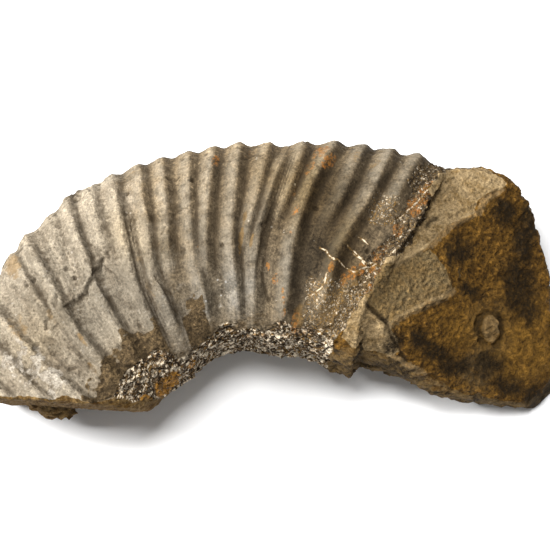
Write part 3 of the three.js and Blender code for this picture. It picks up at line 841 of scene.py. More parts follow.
# Random fields: the noise, the size of its swells in millimetres, a shift that keeps it apart from
# the others, how many finer layers it has, and its strength.
FIELDS = {
    "growth edge": (PATCHES, 5, 23, 3, 0.3),
    "outline waves": (PATCHES, 8, 50, 3, 1),
    "outline waves across": (PATCHES, 8, 90, 3, 1),
    "wall edge": (PATCHES, 16, 0, 4, 0.05),
    "mud edge": (PATCHES, 10, 5, 4, 0.16),
    "chalk edge": (PATCHES, 8, 31, 4, 1),
    "worn edge": (PATCHES, 14, 40, 4, 1),
    "band edge": (PATCHES, 8, 3, 3, 1.1),
    "line edge": (PATCHES, 5, 80, 2, 0.8),
    "dark patch waves": (PATCHES, 9, 130, 4, 1),
    "dark patch waves across": (PATCHES, 9, 170, 4, 1),
    "knob edge": (STONE, 6, 70, 3, 0.22),
    "edge wear": (STONE, 8, 0, 3, 1),
    "chips": (STONE, 7, 21, 4, 1),
    "small chips": (STONE, 3.2, 27, 2, 1),
    "skin swell": (SKIN, 26, 0, 3, 0.9),
    "fine lines": (SKIN, (2.4, 26, 40), 0, 1, 0.14),
    "wide lines": (SKIN, (4.8, 50, 70), 7, 1, 0.26),
    "skin grain": (SKIN, 3.4, 0, 3, 0.10),
    "fine crumbs": (SKIN, 2.6, 30, 2, 0.42),
    "coarse crumbs": (SKIN, 6, 61, 2, 0.45),
    "skin holes": (SKIN, 2.0, 9, 1, 1),
    "crest chips": (STONE, 4.5, 0, 3, 1),
    "venter knocks": (STONE, 6, 3, 4, 1),
    "venter growths": (STONE, 3.6, 13, 3, 1),
    "flake edge": (STONE, 4, 2, 3, 1.8),
    "crack wander": (STONE, 4, 8, 2, 0.9),
    "thread wander": (STONE, 9, 18, 1, 0.4),
    "step wander": (STONE, 6, 33, 3, 1.3),
    "crust lumps": (STONE, 12, 6, 3, 1.7),
    "mud lumps": (STONE, 7, 12, 4, 1.3),
    "chalk crumbs": (STONE, 3, 60, 3, 0.8),
    "knob lumps": (STONE, 4, 75, 3, 1.8),
    "lump wear": (STONE, 6, 44, 4, 1.9),
    "swell": (STONE, 24, 1, 3, 1),
    "rough": (STONE, 7, 4, 4, 1),
    "coarse": (STONE, 4.2, 2, 2, 1),
    "combed": (STONE, (4.6, 1.9, 3.0), 0, 2, 1),
    "thin beds": (STONE, (30, 1.9, 30), 0, 1, 1),
    "thick beds": (STONE, (60, 4.5, 60), 0, 1, 1),
}
# Packed grains: the noise, a shift, the grains' size and their relief, in millimetres.
GRAINS = {
    "wall crystals": (CRYSTALS, 0, 3.4, 1.5),
    "band crystals": (CRYSTALS, 50, 2.2, 0.75),
    "mud crumbs": (CRYSTALS, 90, 2.6, 0.5),
    "lump grains": (STONE, 10, 6.0, 1.6),
}
SCALLOP = 17  # size of the scallops on the rock's sides
GRANULE = (5.2, 2.6, 3.2)  # size of the granules along, across and through the combed grain
GRANULE_RELIEF = 1.6

# Relief of each kind of break: how much of each field it has, in millimetres.
BREAK_RELIEF = {
    "pale": {"swell": 0.5, "rough": 0.50, "combed": 0.45, "granules": 0.30, "bedding": 0.12},
    "drab": {"swell": 0.9, "rough": 0.70, "combed": 0.80, "granules": 0.45},
    "facet": {"rough": 1.6, "coarse": 0.9, "sunk": -0.9},
    "shoulder": {"swell": 0.8, "rough": 1.2, "coarse": 0.9, "granules": 0.3},
    "bedded": {"rough": 1.2, "bedding": 0.5, "coarse": 0.8},
    "brown": {"swell": 2.0, "rough": 2.2, "coarse": 1.6, "combed": 0.6, "granules": 0.35},
    "sides": {"swell": 1.3, "rough": 1.6, "coarse": 1.2, "scallops": 1.8},
    "old_end": {"swell": 1.2, "rough": 1.4, "coarse": 0.8},
}

# Patches of the ribbed surface: angles, fractions of the whorl's height, how far each fades, and
# how strong the patch is.
WORN_PATCHES = (
    ((121, 133), (0.52, 0.88), (2.5, 0.06), 0.35),
    ((111, 121), (0.55, 0.86), (2.0, 0.06), 0.25),
    ((131, 150), (0.32, 0.62), (3.0, 0.08), 0.30),
    ((129.6, 133.6), (0.47, 0.62), (0.8, 0.03), 0.60),
)
WORN_EDGE = (0.10, 0.42)  # sums of noise and patches between which the surface is worn
OLD_WEAR = 0.1  # how much more worn the older whorl is, and the angles over which this sets in
OLD_WEAR_ANGLES = (104, 126)
SPARKLE_PATCHES = (((63, 77), (0.10, 0.32), (3, 0.06), 1.0), ((65, 70), (0.58, 0.74), (1.5, 0.05), 0.8))
# Chalky patches: the patch, the span of the noise over which it sets in, and its share.
CHALK_PATCHES = (
    (((141, 150), (0.36, 0.72), (2.5, 0.08)), (-0.22, 0.2), 1),
    (((90, 102), (0.10, 0.26), (1.6, 0.05)), (-0.1, 0.3), 0.45),
)
# The crust of the umbilical wall: the fractions of the whorl's height between which it ends, and
# the angles from which it reaches further up, and how much further.
WALL_TOP = (0.095, 0.060)
WALL_REACHES = (((92, 78), 0.03), ((113, 122), 0.09))
# Old mud: the fractions of the whorl's height between which a patch ends, the angles over which
# each of its sides fades, and how much the far side is torn. Then the thin mud along its foot.
EARTH_PATCHES = (
    ((0.31, 0.24), (113.5, 118), (152, 144), 30),
    ((0.26, 0.20), (102.0, 103.5), (110.5, 108.5), 0),
)
EARTH_FOOT = (0.19, 0.09)
FOOT_SHARE = 0.5

FACE_REACH = 1.8  # how quickly a point stops belonging to a break face, in millimetres
UNBROKEN = 0.015
EVEN_FACING = 8  # times that the normals are evened out, to tell which way a part faces
FLANK_SPAN = (0, 14)  # heights over the middle plane between which the upper flank's marks set in
LAYER_FADE = 0.12  # degrees
TOP_FACING = (0.3, 0.5)  # from where to where a break counts as the rock's upper side
GROUND_FADE = (0.2, 4)  # heights over the ground between which the carving sets in
EDGE_ROUNDING = 16  # times that the surface is evened out where its edges are most worn
CHIP_DEPTH = 2.2
SMALL_CHIP_DEPTH = 0.8
# Sides of a rib, which take painted shade (the steep side) and a painted highlight (the side before the
# crest): the millimetres past its crest over which each sets in and dies out.
STEEP_SIDE = ((-0.2, 2.4), (10.0, 2.6))
HIGHLIGHT_SIDE = ((-9.0, -2.5), (2.0, -1.5))
# The knob and what is round it, in sizes of the knob from its middle.
KNOB_EDGE = (1.0, 0.75)
MOAT_AT = 1.18
MOAT_HALF_WIDTH = 0.28
HALO = (3.0, 1.2)
KNOB_RISE = 2.8
MOAT_DEPTH = 3.0
BAND_WIDTHS = (3.6, 3.0)  # degrees that the band at the torn end covers at its foot and at its top
BAND_FOOT = (0.05, 0.14)  # fractions of the whorl's height between which it sets in
BAND_DROP = 1.0  # how far it lies under the ribbed surface
STEP_WIDTH = 0.9
LINE_REACH = 6  # how many of its widths a groove or a thread is followed for


class Surface:
    """The points of a mesh in millimetres, and where each of them lies on the fossil."""

    def __init__(self, mesh):
        count = len(mesh.vertices)
        points = np.zeros(count * 3, np.float32)
        mesh.vertices.foreach_get("co", points)
        normals = np.zeros(count * 3, np.float32)
        mesh.vertex_normals.foreach_get("vector", normals)
        links = np.zeros(len(mesh.edges) * 2, np.int32)
        mesh.edges.foreach_get("vertices", links)
        self.mesh = mesh
        self.points = points.reshape(-1, 3).astype(float) / MM
        self.normals = normals.reshape(-1, 3).astype(float)
        self.first, self.second = links.reshape(-1, 2).T
        self.neighbours = np.bincount(links, minlength=count)
        self.locate()

    def spread(self, values, times):
        """The values evened out over neighbouring points."""
        columns = np.atleast_2d(np.asarray(values, float).T)
        for _ in range(times):
            fresh = []
            for column in columns:
                into_first = np.bincount(self.first, column[self.second], len(column))
                into_second = np.bincount(self.second, column[self.first], len(column))
                fresh.append((into_first + into_second) / self.neighbours)
            columns = np.array(fresh)
        return columns[0] if np.ndim(values) == 1 else columns.T

    def locate(self):
        away = self.points[:, :2] - COIL_AXIS
        self.angle = np.degrees(np.arctan2(away[:, 1], away[:, 0]))
        inner = umbilicus(self.angle)
        self.radius = np.hypot(*away.T)
        self.height = (self.radius - inner) / (venter(self.angle) - inner)
        self.side = self.points[:, 2] - MID_PLANE
        self.level = np.clip(self.height, 0, 1)
        self.count = rib_count(self.angle, self.level)
        self.flow = np.stack([self.count * RIB_GAP, self.height * WHORL_HEIGHT, self.side], 1)
        self.upper = smooth_step(*FLANK_SPAN, self.side)
        self.facing = self.spread(self.normals, EVEN_FACING)
        self.past_layer = self.angle - layer_edge(self.level) - thin_crust(self.level)
        self.ribbed = smooth_step(-LAYER_FADE, LAYER_FADE, self.past_layer)
        old = self.shares(OLD_BREAKS)
        rock = self.shares({**ROCK_BREAKS, **BIG_FACE, **LOBE_BREAKS})
        self.breaks = {name: share * self.ribbed for name, share in old.items()}
        self.breaks.update({name: share * (1 - self.ribbed) for name, share in rock.items()})
        self.skin = self.ribbed * (1 - sum(old.values()))
        self.rock_top = (1 - self.ribbed) * smooth_step(*TOP_FACING, self.facing[:, 2])

    def shares(self, faces):
        """How much of each break face a point belongs to; what is left over was never broken."""
        near = {}
        for name, (at, out) in faces.items():
            inside = np.abs((self.points - at) @ unit(out))
            near[name] = np.exp(-inside / FACE_REACH) * smooth_step(0.2, 0.7, self.facing @ unit(out))
        everything = sum(near.values()) + UNBROKEN
        return {name: value / everything for name, value in near.items()}

    def field(self, name, place=None):
        """A random field at the points, or at a place of their own."""
        noise, size, shift, layers, strength = FIELDS[name]
        place = self.points if place is None else place
        return noise.layered(place / size + shift, layers) * strength

    def grains(self, name):
        """Relief of packed, tilted grains with open joints between them."""
        noise, shift, size, relief = GRAINS[name]
        edge, tilt, lift = noise.grains((self.points + shift) / size)
        return relief * (tilt * 1.3 + (lift - 0.5) * 0.8 - smooth_step(0.16, 0.0, edge) * 0.5)

    def nothing(self):
        return np.zeros(len(self.points))

    def plan_distance(self, mark):
        """Distance in plan from a mark on the whorl."""
        return np.hypot(*(self.points[:, :2] - on_whorl([mark])).T)

    def along_line(self, line):
        return line_distance(self.points[:, :2], line)

    def near_mark(self, mark, size):
        """1 at a mark on the upper flank, falling to 0 at its size, in millimetres."""
        return smooth_step(1, 0.3, self.plan_distance(mark) / size) * self.upper

    def growth(self, mark, size):
        """1 at a mark on the venter, falling to 0 at its ragged edge."""
        reach = self.plan_distance(mark) / size + self.field("growth edge")
        return smooth_step(1, 0.3, reach) * smooth_step(26, 10, np.abs(self.side - 4))

    def patch(self, angles, heights, fade):
        """1 within a span of angles and of the whorl's height, fading outside them."""
        within = 1
        for (low, high), reach, value in zip((angles, heights), fade, (self.angle, self.height)):
            within = within * smooth_step(low - reach, low + reach, value)
            within = within * smooth_step(high + reach, high - reach, value)
        return within * self.upper

    def patches(self, rows):
        return sum(strength * self.patch(*where) for *where, strength in rows)

    def on_rock(self, outline, fade=1.0, waver=2.0):
        """1 inside an outline on the upper side of the bare rock, with a wavering edge."""
        waves = [self.field("outline waves"), self.field("outline waves across")]
        place = self.points[:, :2] + waver * np.stack(waves, 1)
        return inside_outline(place, outline, fade) * self.rock_top

    def rock_zones(self):
        """Shares of the kinds of break that the stone shows."""
        zones = {}
        left = self.rock_top
        for name, outline in ROCK_ZONES.items():
            zones[name] = np.minimum(self.on_rock(outline), left)
            left = left - zones[name]
        zones["brown"] = left
        zones["sides"] = 1 - self.ribbed - self.rock_top
        zones["old_end"] = self.breaks["old_end"]
        zones["bedded"] = zones["bevel"] + (self.breaks["old_inner"] + self.breaks["old_ledge"])
        return zones

    def knob(self):
        """The oval knob on the big brown break, the moat beside it and the greyer rock around it."""
        away = (self.points[:, :2] - KNOB_AT) / (KNOB_HALF_WIDTH, KNOB_HALF_LENGTH)
        reach = np.hypot(*away.T) + self.field("knob edge")
        beside = np.abs(away[:, 0]) / np.maximum(reach, 0.5)
        ring = np.exp(-(((reach - MOAT_AT) / MOAT_HALF_WIDTH) ** 2))
        moat = ring * blend(0.1, 1.0, np.clip(beside, 0, 1))
        parts = smooth_step(*KNOB_EDGE, reach), moat, smooth_step(*HALO, reach)
        return [part * self.rock_top for part in parts]

    def wall(self):
        """The crystal crust of the umbilical wall."""
        rise = sum(further * smooth_step(*angles, self.angle) for angles, further in WALL_REACHES)
        return smooth_step(*WALL_TOP, self.height + self.field("wall edge") - rise) * self.skin

    def earth(self):
        """Rough old mud, in two patches by the umbilicus and along its foot."""
        ragged = self.field("mud edge")
        patches = self.nothing()
        for top, near, far, torn in EARTH_PATCHES:
            within = smooth_step(*top, self.height + ragged) * smooth_step(*near, self.angle)
            patches += within * smooth_step(*far, self.angle + ragged * torn)
        foot = FOOT_SHARE * smooth_step(*EARTH_FOOT, self.height + ragged * 0.6)
        return np.clip(np.maximum(patches, foot), 0, 1) * self.skin * self.upper

    def chalky(self):
        """White, powdery patches of the ribbed surface."""
        ragged = self.field("chalk edge")
        patches = self.nothing()
        for where, torn, share in CHALK_PATCHES:
            patches += share * (self.patch(*where) * smooth_step(*torn, ragged))
        return np.clip(patches, 0, 1) * self.skin

    def worn(self):
        """Rough, weathered patches of the ribbed surface."""
        older = OLD_WEAR * smooth_step(*OLD_WEAR_ANGLES, self.angle)
        known = self.patches(WORN_PATCHES)
        return smooth_step(*WORN_EDGE, self.field("worn edge") + known + older) * self.skin

    def rib_sides(self):
        """Steep sides of the ribs, which take painted shade, and the lit sides by their crests, which take
        a painted highlight.
        """
        sides = [self.nothing(), self.nothing()]
        for rib in range(len(RIBS)):
            past = past_crest(rib, self.angle, self.level, self.radius)
            rise = crest_rise(rib, self.level) / USUAL_RISE
            for side, (start, end) in zip(sides, (STEEP_SIDE, HIGHLIGHT_SIDE)):
                np.maximum(side, rise * smooth_step(*start, past) * smooth_step(*end, past), out=side)
        return [side * self.skin for side in sides]

    def end_band(self):
        """Granular band along the torn end of the ribbed layer."""
        width = blend(*BAND_WIDTHS, self.level)
        band = smooth_step(width + 0.5, width - 0.5, self.past_layer + self.field("band edge"))
        return band * self.skin * smooth_step(*BAND_FOOT, self.height)

    def move(self, distance):
        """Moves the points outwards, and keeps the piece's flat underside where it was."""
        lifted = smooth_step(*GROUND_FADE, self.points[:, 2])
        self.points = self.points + self.normals * (distance * lifted)[:, None]

    def write(self):
        self.points[:, 2] = np.maximum(self.points[:, 2], 0)
        self.mesh.vertices.foreach_set("co", (self.points * MM).astype(np.float32).ravel())
        self.mesh.update()


def carve_edges(surface):
    """Rounds and chips the sharp edges between the breaks."""
    even = surface.spread(surface.points, EDGE_ROUNDING)
    amount = blend(0.15, 0.95, smooth_step(-0.35, 0.45, surface.field("edge wear")))
    amount = amount * blend(1, 0.25, surface.skin) * smooth_step(0.5, 4, surface.points[:, 2])
    surface.points = blend(surface.points, even, amount[:, None])


def carve_chips(surface):
    """Chips knocked out of the edges between the breaks."""
    sharp = smooth_step(0.10, 0.30, 1 - np.linalg.norm(surface.facing, axis=1))
    chips = smooth_step(0.0, 0.45, surface.field("chips"))
    small = smooth_step(0.05, 0.5, surface.field("small chips"))
    return -sharp * (chips * CHIP_DEPTH + small * SMALL_CHIP_DEPTH) * (1 - 0.6 * surface.skin)


def carve_skin(surface):
    """Growth lines, swells and worn patches of the ribbed surface."""
    lines = surface.field("fine lines", surface.flow) + surface.field("wide lines", surface.flow)
    crumbs = surface.field("fine crumbs") + surface.field("coarse crumbs")
    holes = smooth_step(0.30, 0.6, surface.field("skin holes")) * 0.25
    relief = surface.field("skin swell") + lines + surface.field("skin grain")
    return (relief + surface.worn() * (crumbs - holes)) * surface.skin


def carve_crests(surface):
    """Chips along the crests of the older ribs, knocks and growths on the venter."""
    fraction = surface.count - np.floor(surface.count)
    crest = smooth_step(0.16, 0.04, np.minimum(fraction, 1 - fraction))
    older = smooth_step(100, 118, surface.angle) * surface.upper
    chips = smooth_step(0.05, 0.4, surface.field("crest chips"))
    knocks = smooth_step(0.05, 0.5, surface.field("venter knocks"))
    growths = surface.field("venter growths") * blend(0.5, 1.6, crest) * blend(0.6, 1, older)
    relief = smooth_step(0.88, 0.98, surface.height) * (growths - knocks * 1.2)
    relief -= crest * older * chips * 0.8
    for mark, size, rise in GROWTHS:
        relief += surface.growth(mark, size) * rise * (1 + 0.5 * growths)
    return relief * surface.skin


def carve_bundles(surface):
    """Bundles of sharp, close growth lines on a few of the ribs."""
    total = surface.nothing()
    for centre, width, per_rib, relief, low, high in LINE_BUNDLES:
        off = surface.count - centre
        wave = 1 - 2 * np.abs(np.sin(np.pi * off * per_rib))
        reach = np.exp(-((off / width) ** 2))
        span = smooth_step(low - 0.08, low + 0.05, surface.height)
        span = span * smooth_step(high + 0.05, high - 0.08, surface.height)
        total += wave * reach * span * relief
    return total * surface.skin * surface.upper


def steps_down(surface, lines, place, wander):
    """Steps that drop at a line and run out beyond it."""
    total = surface.nothing()
    for line, drop, run in lines:
        distance, side, there = surface.along_line(place(line))
        past = distance * side + wander
        out = np.exp(-((np.maximum(past, 0) / run) ** 2))
        total -= there * drop * smooth_step(0, STEP_WIDTH, past) * out
    return total


def ridges(surface, lines, place, wander):
    """Raised threads along lines, or grooves where the relief is below 0."""
    total = surface.nothing()
    for line, width, relief in lines:
        distance, side, there = surface.along_line(place(line))
        across = (distance * side + wander) / width
        total += there * relief * np.exp(-(across**2)) * (distance < LINE_REACH * width)
    return total


def carve_layer(surface):
    """Flaked edges, cracks and threads of the ribbed layer, and its pits."""
    cracks = ridges(surface, CRACKS, on_whorl, surface.field("crack wander")) * surface.ribbed
    flakes = steps_down(surface, FLAKES, on_whorl, surface.field("flake edge")) * surface.skin
    threads = ridges(surface, THREADS, on_whorl, surface.field("thread wander")) * surface.skin
    pits = sum(surface.near_mark(pit, 2 * PIT_RADIUS) for pit in PITS)
    return (flakes + cracks + threads) * surface.upper - PIT_DEPTH * pits


def carve_crust(surface):
    """Crystals of the umbilical wall and of the torn end's band."""
    lumps = surface.field("crust lumps")
    crystals = surface.grains("wall crystals")
    inner = smooth_step(0.2, 0.0, surface.height)
    band = surface.grains("band crystals") + crystals * 0.5 + lumps * 0.4 - BAND_DROP
    return surface.wall() * (lumps * inner + crystals) + surface.end_band() * band


def carve_earth(surface):
    mud = surface.earth() * (surface.field("mud lumps") + surface.grains("mud crumbs"))
    return mud + surface.chalky() * surface.field("chalk crumbs")


def carve_breaks(surface):
    """Grain, scallops and bedding of the broken rock."""
    combed = surface.points @ COMBED.T
    bedded = surface.points @ BEDDING.T
    kinds = {name: surface.field(name) for name in ("swell", "rough", "coarse")}
    kinds["combed"] = surface.field("combed", combed)
    kinds["granules"] = STONE.grains(combed / GRANULE)[1] * GRANULE_RELIEF
    kinds["bedding"] = surface.field("thin beds", bedded) + surface.field("thick beds", bedded)
    kinds["scallops"] = STONE.grains(surface.points / SCALLOP)[1]
    kinds["sunk"] = 1
    zones = surface.rock_zones()
    relief = 0
    for zone, amounts in BREAK_RELIEF.items():
        relief = relief + zones[zone] * sum(kinds[kind] * amount for kind, amount in amounts.items())
    return relief


def carve_rock_lines(surface):
    """Cracks, steps and raised lips where the breaks of the bare rock meet."""
    wander = surface.field("step wander")
    cracks = ridges(surface, ROCK_CRACKS, np.array, surface.field("crack wander")) * surface.upper
    lips = [(line, LIP_WIDTH, LIP_RISE) for line in ROCK_LIPS]
    steps = steps_down(surface, ROCK_STEPS, np.array, wander)
    return (cracks + steps + ridges(surface, lips, np.array, wander * 0.5)) * surface.rock_top


def carve_knob(surface):
    dome, moat, _ = surface.knob()
    return dome * (KNOB_RISE + surface.field("knob lumps")) - moat * MOAT_DEPTH


def carve_lumps(surface):
    """Rough rock on the lumps that hang on the inner wall."""
    near = surface.nothing()
    for at, size in LUMPS:
        away = (surface.points - at) / size
        near = np.maximum(near, smooth_step(1.35, 0.95, np.linalg.norm(away, axis=1)))
    return near * (surface.field("lump wear") + surface.grains("lump grains"))


CARVINGS = (
    carve_skin, carve_crests, carve_bundles, carve_layer, carve_crust, carve_earth, carve_lumps,
    carve_chips, carve_breaks, carve_rock_lines, carve_knob,
)


def carve(mesh):
    surface = Surface(mesh)
    carve_edges(surface)
    surface.write()
    surface = Surface(mesh)
    surface.move(sum(carving(surface) for carving in CARVINGS))
    surface.write()


# ------------------------------------------------------------ what covers each point


def stain(surface, marks, along_rib):
    """Stains that stretch along the ribs, from (angle, height, size, strength)."""
    total = surface.nothing()
    for angle, height, size, strength in marks:
        count = rib_count(np.array([angle]), np.array([height]))[0]
        across = (surface.count - count) * RIB_GAP / size
        along = (surface.height - height) * WHORL_HEIGHT / (size * along_rib)
        total = np.maximum(total, strength * smooth_step(1.25, 0.15, np.hypot(across, along)))
    return total * surface.ribbed * surface.upper


def nearness(surface, lines, place, reach):
    """1 on the lines, falling evenly to 0 at their reach."""
    total = surface.nothing()
    wander = surface.field("line edge")
    for line in lines:
        distance, side, _ = surface.along_line(place(line))
        total = np.maximum(total, 1 - np.abs(distance * side + wander * (distance < LINE_WANDERS)) / reach)
    return np.clip(total, 0, 1) * surface.upper


def broad_tones(surface):
    """What the ribbed surface's usual colour is multiplied by: red, green and blue."""
    tone = np.ones(len(surface.points))
    warmth = surface.nothing()
    for degrees, height, along, across, change, warm in TONES:
        beside = np.radians(surface.angle - degrees) * surface.radius / along
        above = (surface.height - height) * WHORL_HEIGHT / across
        near = np.exp(-(beside**2) - above**2)
        tone += change * near
        warmth += warm * near
    tone = np.maximum(tone, LEAST_TONE)
    return tone[:, None] * (1 + warmth[:, None] * WARM_CHANGE)


def dark_patches(surface):
    """Dark patches of the bare rock, and painted shade along its cracks."""
    dark = nearness(surface, [line for line, _, _ in ROCK_CRACKS], np.array, CRACK_SHADE)
    waves = [surface.field("dark patch waves"), surface.field("dark patch waves across")]
    place = surface.points[:, :2] + DARK_WAVER * np.stack(waves, 1)
    for middle, size in DARK_PATCHES:
        dark = np.maximum(dark, smooth_step(1.45, 0.35, np.hypot(*((place - middle) / size).T)))
    return dark * surface.rock_top


def wall_ochre(surface):
    """Ochre blocks in the crust of the wall."""
    reaches = [surface.plan_distance(mark) / size for mark, size in WALL_OCHRE]
    near = smooth_step(1.2, 0.3, np.min(reaches, axis=0))
    return near * surface.ribbed * smooth_step(-24, 4, surface.side)


def sunk(surface, times):
    """How far each point lies under the evened surface; below 0 where it stands proud."""
    return np.sum((surface.spread(surface.points, times) - surface.points) * surface.normals, axis=1)


def coverings(surface):
    """Masks from 0 to 1 for the material, and the place along the ribs."""
    breaks = surface.breaks
    zones = surface.rock_zones()
    steep, crest_highlight = surface.rib_sides()
    wall = surface.wall()
    band = surface.end_band()
    knob, moat, halo = surface.knob()
    # How much of the painted shade in hollows is laid: less on the crusts and on bare rock.
    hollow_shade_share = 1 - np.maximum(0.75 * np.maximum(wall, band), 0.45 * (1 - surface.ribbed))
    close = sunk(surface, CLOSE_HOLLOWS)
    broad = sunk(surface, BROAD_HOLLOWS)
    deep = smooth_step(0.03, 0.30, close) + 0.8 * smooth_step(0.15, 1.3, broad)
    proud = smooth_step(0.03, 0.28, -close) + 0.5 * smooth_step(0.2, 1.2, -broad)
    return {
        "bare_rock": 1 - surface.ribbed,
        "pale_break": zones["pale"],
        "drab_break": zones["drab"],
        "shoulder": zones["shoulder"],
        "brown_break": zones["brown"] + zones["facet"],
        "bedded_break": np.clip(zones["bedded"] + zones["old_end"], 0, 1),
        # Dark patches, painted shade along the cracks, and painted shadow on the corner facet.
        "dark_patches_and_shade": np.clip(dark_patches(surface) + breaks["corner"], 0, 1),
        "grey_rock": surface.on_rock(GREY_ZONE, 6.0, 6.0),
        "halo": halo,
        "lit_rock": surface.on_rock(LIT_ZONE, 12.0, 8.0),
        "knob": knob,
        "moat": moat,
        # Pale lips: pale rock colour and painted highlight.
        "lip": nearness(surface, ROCK_LIPS, np.array, LIP_SHADE) * surface.rock_top,
        "patina": smooth_step(136, 84, surface.angle),
        # Painted shade in the hollows, and painted highlight on the high spots.
        "hollow_shade_and_dirt": np.clip(deep, 0, 1) * hollow_shade_share,
        "proud": np.clip(proud, 0, 1),
        "tone": broad_tones(surface),
        # Painted shade on the ribs' steep sides, and painted highlight on the lit sides by their crests.
        "steep": steep,
        "crest_highlight": crest_highlight,
        "worn": surface.worn(),
        "older": smooth_step(108, 122, surface.angle),
        "growth": np.max([surface.growth(mark, size) for mark, size, _ in GROWTHS], axis=0) * surface.skin,
        "wall": wall,
        "wall_ochre": wall_ochre(surface),
        "band": band,
        "earth": surface.earth(),
        "chalk": surface.chalky(),
        "rust": stain(surface, RUST, 1.9),
        "ochre": stain(surface, OCHRE, 2.6),
        "vein": nearness(surface, VEINS, on_whorl, VEIN_SHADE) * surface.ribbed,
        "sparkle": np.clip(surface.patches(SPARKLE_PATCHES), 0, 1) * surface.skin,
        "flow": surface.flow,
    }


def cover(mesh):
    """Writes the coverings onto the finished mesh, for the material to read."""
    for name, values in coverings(Surface(mesh)).items():
        kind, slot = ("FLOAT", "value") if np.ndim(values) == 1 else ("FLOAT_VECTOR", "vector")
        layer = mesh.attributes.new(name, kind, "POINT")
        layer.data.foreach_set(slot, values.astype(np.float32).ravel())


# ------------------------------------------------------------ shader building


class Graph:
    """Short ways to add linked nodes to a node tree."""

    def __init__(self, tree):
        self.tree = tree

    def node(self, kind, feeds=(), **settings):
        node = self.tree.nodes.new("ShaderNode" + kind)
        for name, value in settings.items():
            setattr(node, name, value)
        for socket, value in dict(feeds).items():
            self.feed(node.inputs[socket], value)
        return node

    def feed(self, socket, value):
        if isinstance(value, bpy.types.NodeSocket):
            self.tree.links.new(value, socket)
        elif socket.type == "RGBA" and len(value) == 3:
            socket.default_value = (*value, 1)
        else:
            socket.default_value = value

    def math(self, operation, *values):
        return self.node("Math", enumerate(values), operation=operation).outputs[0]

    def times(self, *values):
        return functools.reduce(lambda result, value: self.math("MULTIPLY", result, value), values)

    def total(self, *values):
        return functools.reduce(lambda result, value: self.math("ADD", result, value), values)

    def vector_math(self, operation, first, second):
        return self.node("VectorMath", {0: first, 1: second}, operation=operation).outputs[0]

    def scaled(self, vector, factor):
        return self.node("VectorMath", {0: vector, "Scale": factor}, operation="SCALE").outputs[0]

    def mix(self, amount, first, second):
        return self.node("Mix", {0: amount, 6: first, 7: second}, data_type="RGBA").outputs[2]

    def spread(self, value, low, high, to_low=0.0, to_high=1.0):
        feeds = {"Value": value, "From Min": low, "From Max": high, "To Min": to_low, "To Max": to_high}
        return self.node("MapRange", feeds, interpolation_type="SMOOTHSTEP").outputs[0]

    def noise(self, place, size, detail=3.0, roughness=0.55, curl=0.0):
        """Cloudy noise from 0 to 1, with patches of about a size."""
        return self.node("TexNoise", {
            "Vector": place, "Scale": self.math("DIVIDE", 1.0, size), "Detail": detail,
            "Roughness": roughness, "Distortion": curl,
        }).outputs["Fac"]

    def cells(self, place, size):
        """Packed cells: the distance from each one's middle, its colour, and its three random values."""
        cell = self.node("TexVoronoi", {"Vector": place, "Scale": self.math("DIVIDE", 1.0, size)}).outputs
        return cell["Distance"], self.node("SeparateColor", {0: cell["Color"]}).outputs

    def attribute(self, name, output="Fac"):
        return self.node("Attribute", attribute_name=name).outputs[output]

    def placed(self, group, **feeds):
        """The outputs of a placed node group, its sockets fed by name."""
        return self.node("Group", feeds, node_tree=group).outputs


SOCKETS = {"colour": "NodeSocketColor", "value": "NodeSocketFloat", "vector": "NodeSocketVector"}


def new_group(name, inputs, outputs):
    """A shader group with named sockets: its graph, what it is given, and what it puts out."""
    tree = bpy.data.node_groups.new(name, "ShaderNodeTree")
    for in_out, sockets in (("INPUT", inputs), ("OUTPUT", outputs)):
        for socket, kind in sockets.items():
            tree.interface.new_socket(socket, in_out=in_out, socket_type=SOCKETS[kind])
    given = tree.nodes.new("NodeGroupInput").outputs
    result = tree.nodes.new("NodeGroupOutput").inputs
    return Graph(tree), given, result


def mottled_stone():
    """Patchy two-tone stone with fine grain."""
    graph, given, result = new_group("Mottled stone", {
        "Place": "vector", "Pale": "colour", "Deep": "colour", "Patch": "value", "Grain": "value",
        "Contrast": "value",
    }, {"Colour": "colour", "Height": "value"})
    clouds = graph.noise(given["Place"], given["Patch"], detail=5.0, roughness=0.6, curl=0.7)
    small = graph.times(given["Patch"], 0.2)
    blots = graph.noise(given["Place"], small, detail=4.0, roughness=0.65, curl=0.9)
    tone = graph.spread(graph.total(graph.times(clouds, 0.6), graph.times(blots, 0.4)), 0.36, 0.62)
    base = graph.mix(tone, given["Deep"], given["Pale"])
    grain = graph.noise(given["Place"], given["Grain"], roughness=0.75)
    away = graph.times(graph.math("SUBTRACT", grain, 0.5), given["Contrast"])
    graph.feed(result["Colour"], graph.scaled(base, graph.math("MAXIMUM", graph.total(away, 1.0), 0.3)))
    graph.feed(result["Height"], grain)
    return graph.tree


def flecks():
    """Scattered dots of uneven size and shape."""
    inputs = {"Place": "vector", "Size": "value", "Share": "value", "Reach": "value"}
    graph, given, result = new_group("Flecks", inputs, {"Mask": "value"})
    distance, pick = graph.cells(given["Place"], given["Size"])
    chosen = graph.math("LESS_THAN", pick[0], given["Share"])
    reach = graph.times(given["Reach"], graph.spread(pick[1], 0.0, 1.0, 0.4, 1.2))
    waver = graph.noise(given["Place"], graph.times(given["Size"], 0.25), detail=2.0)
    wavering = graph.total(distance, graph.times(graph.math("SUBTRACT", waver, 0.5), 0.25))
    graph.feed(result["Mask"], graph.times(chosen, graph.math("LESS_THAN", wavering, reach)))
    return graph.tree


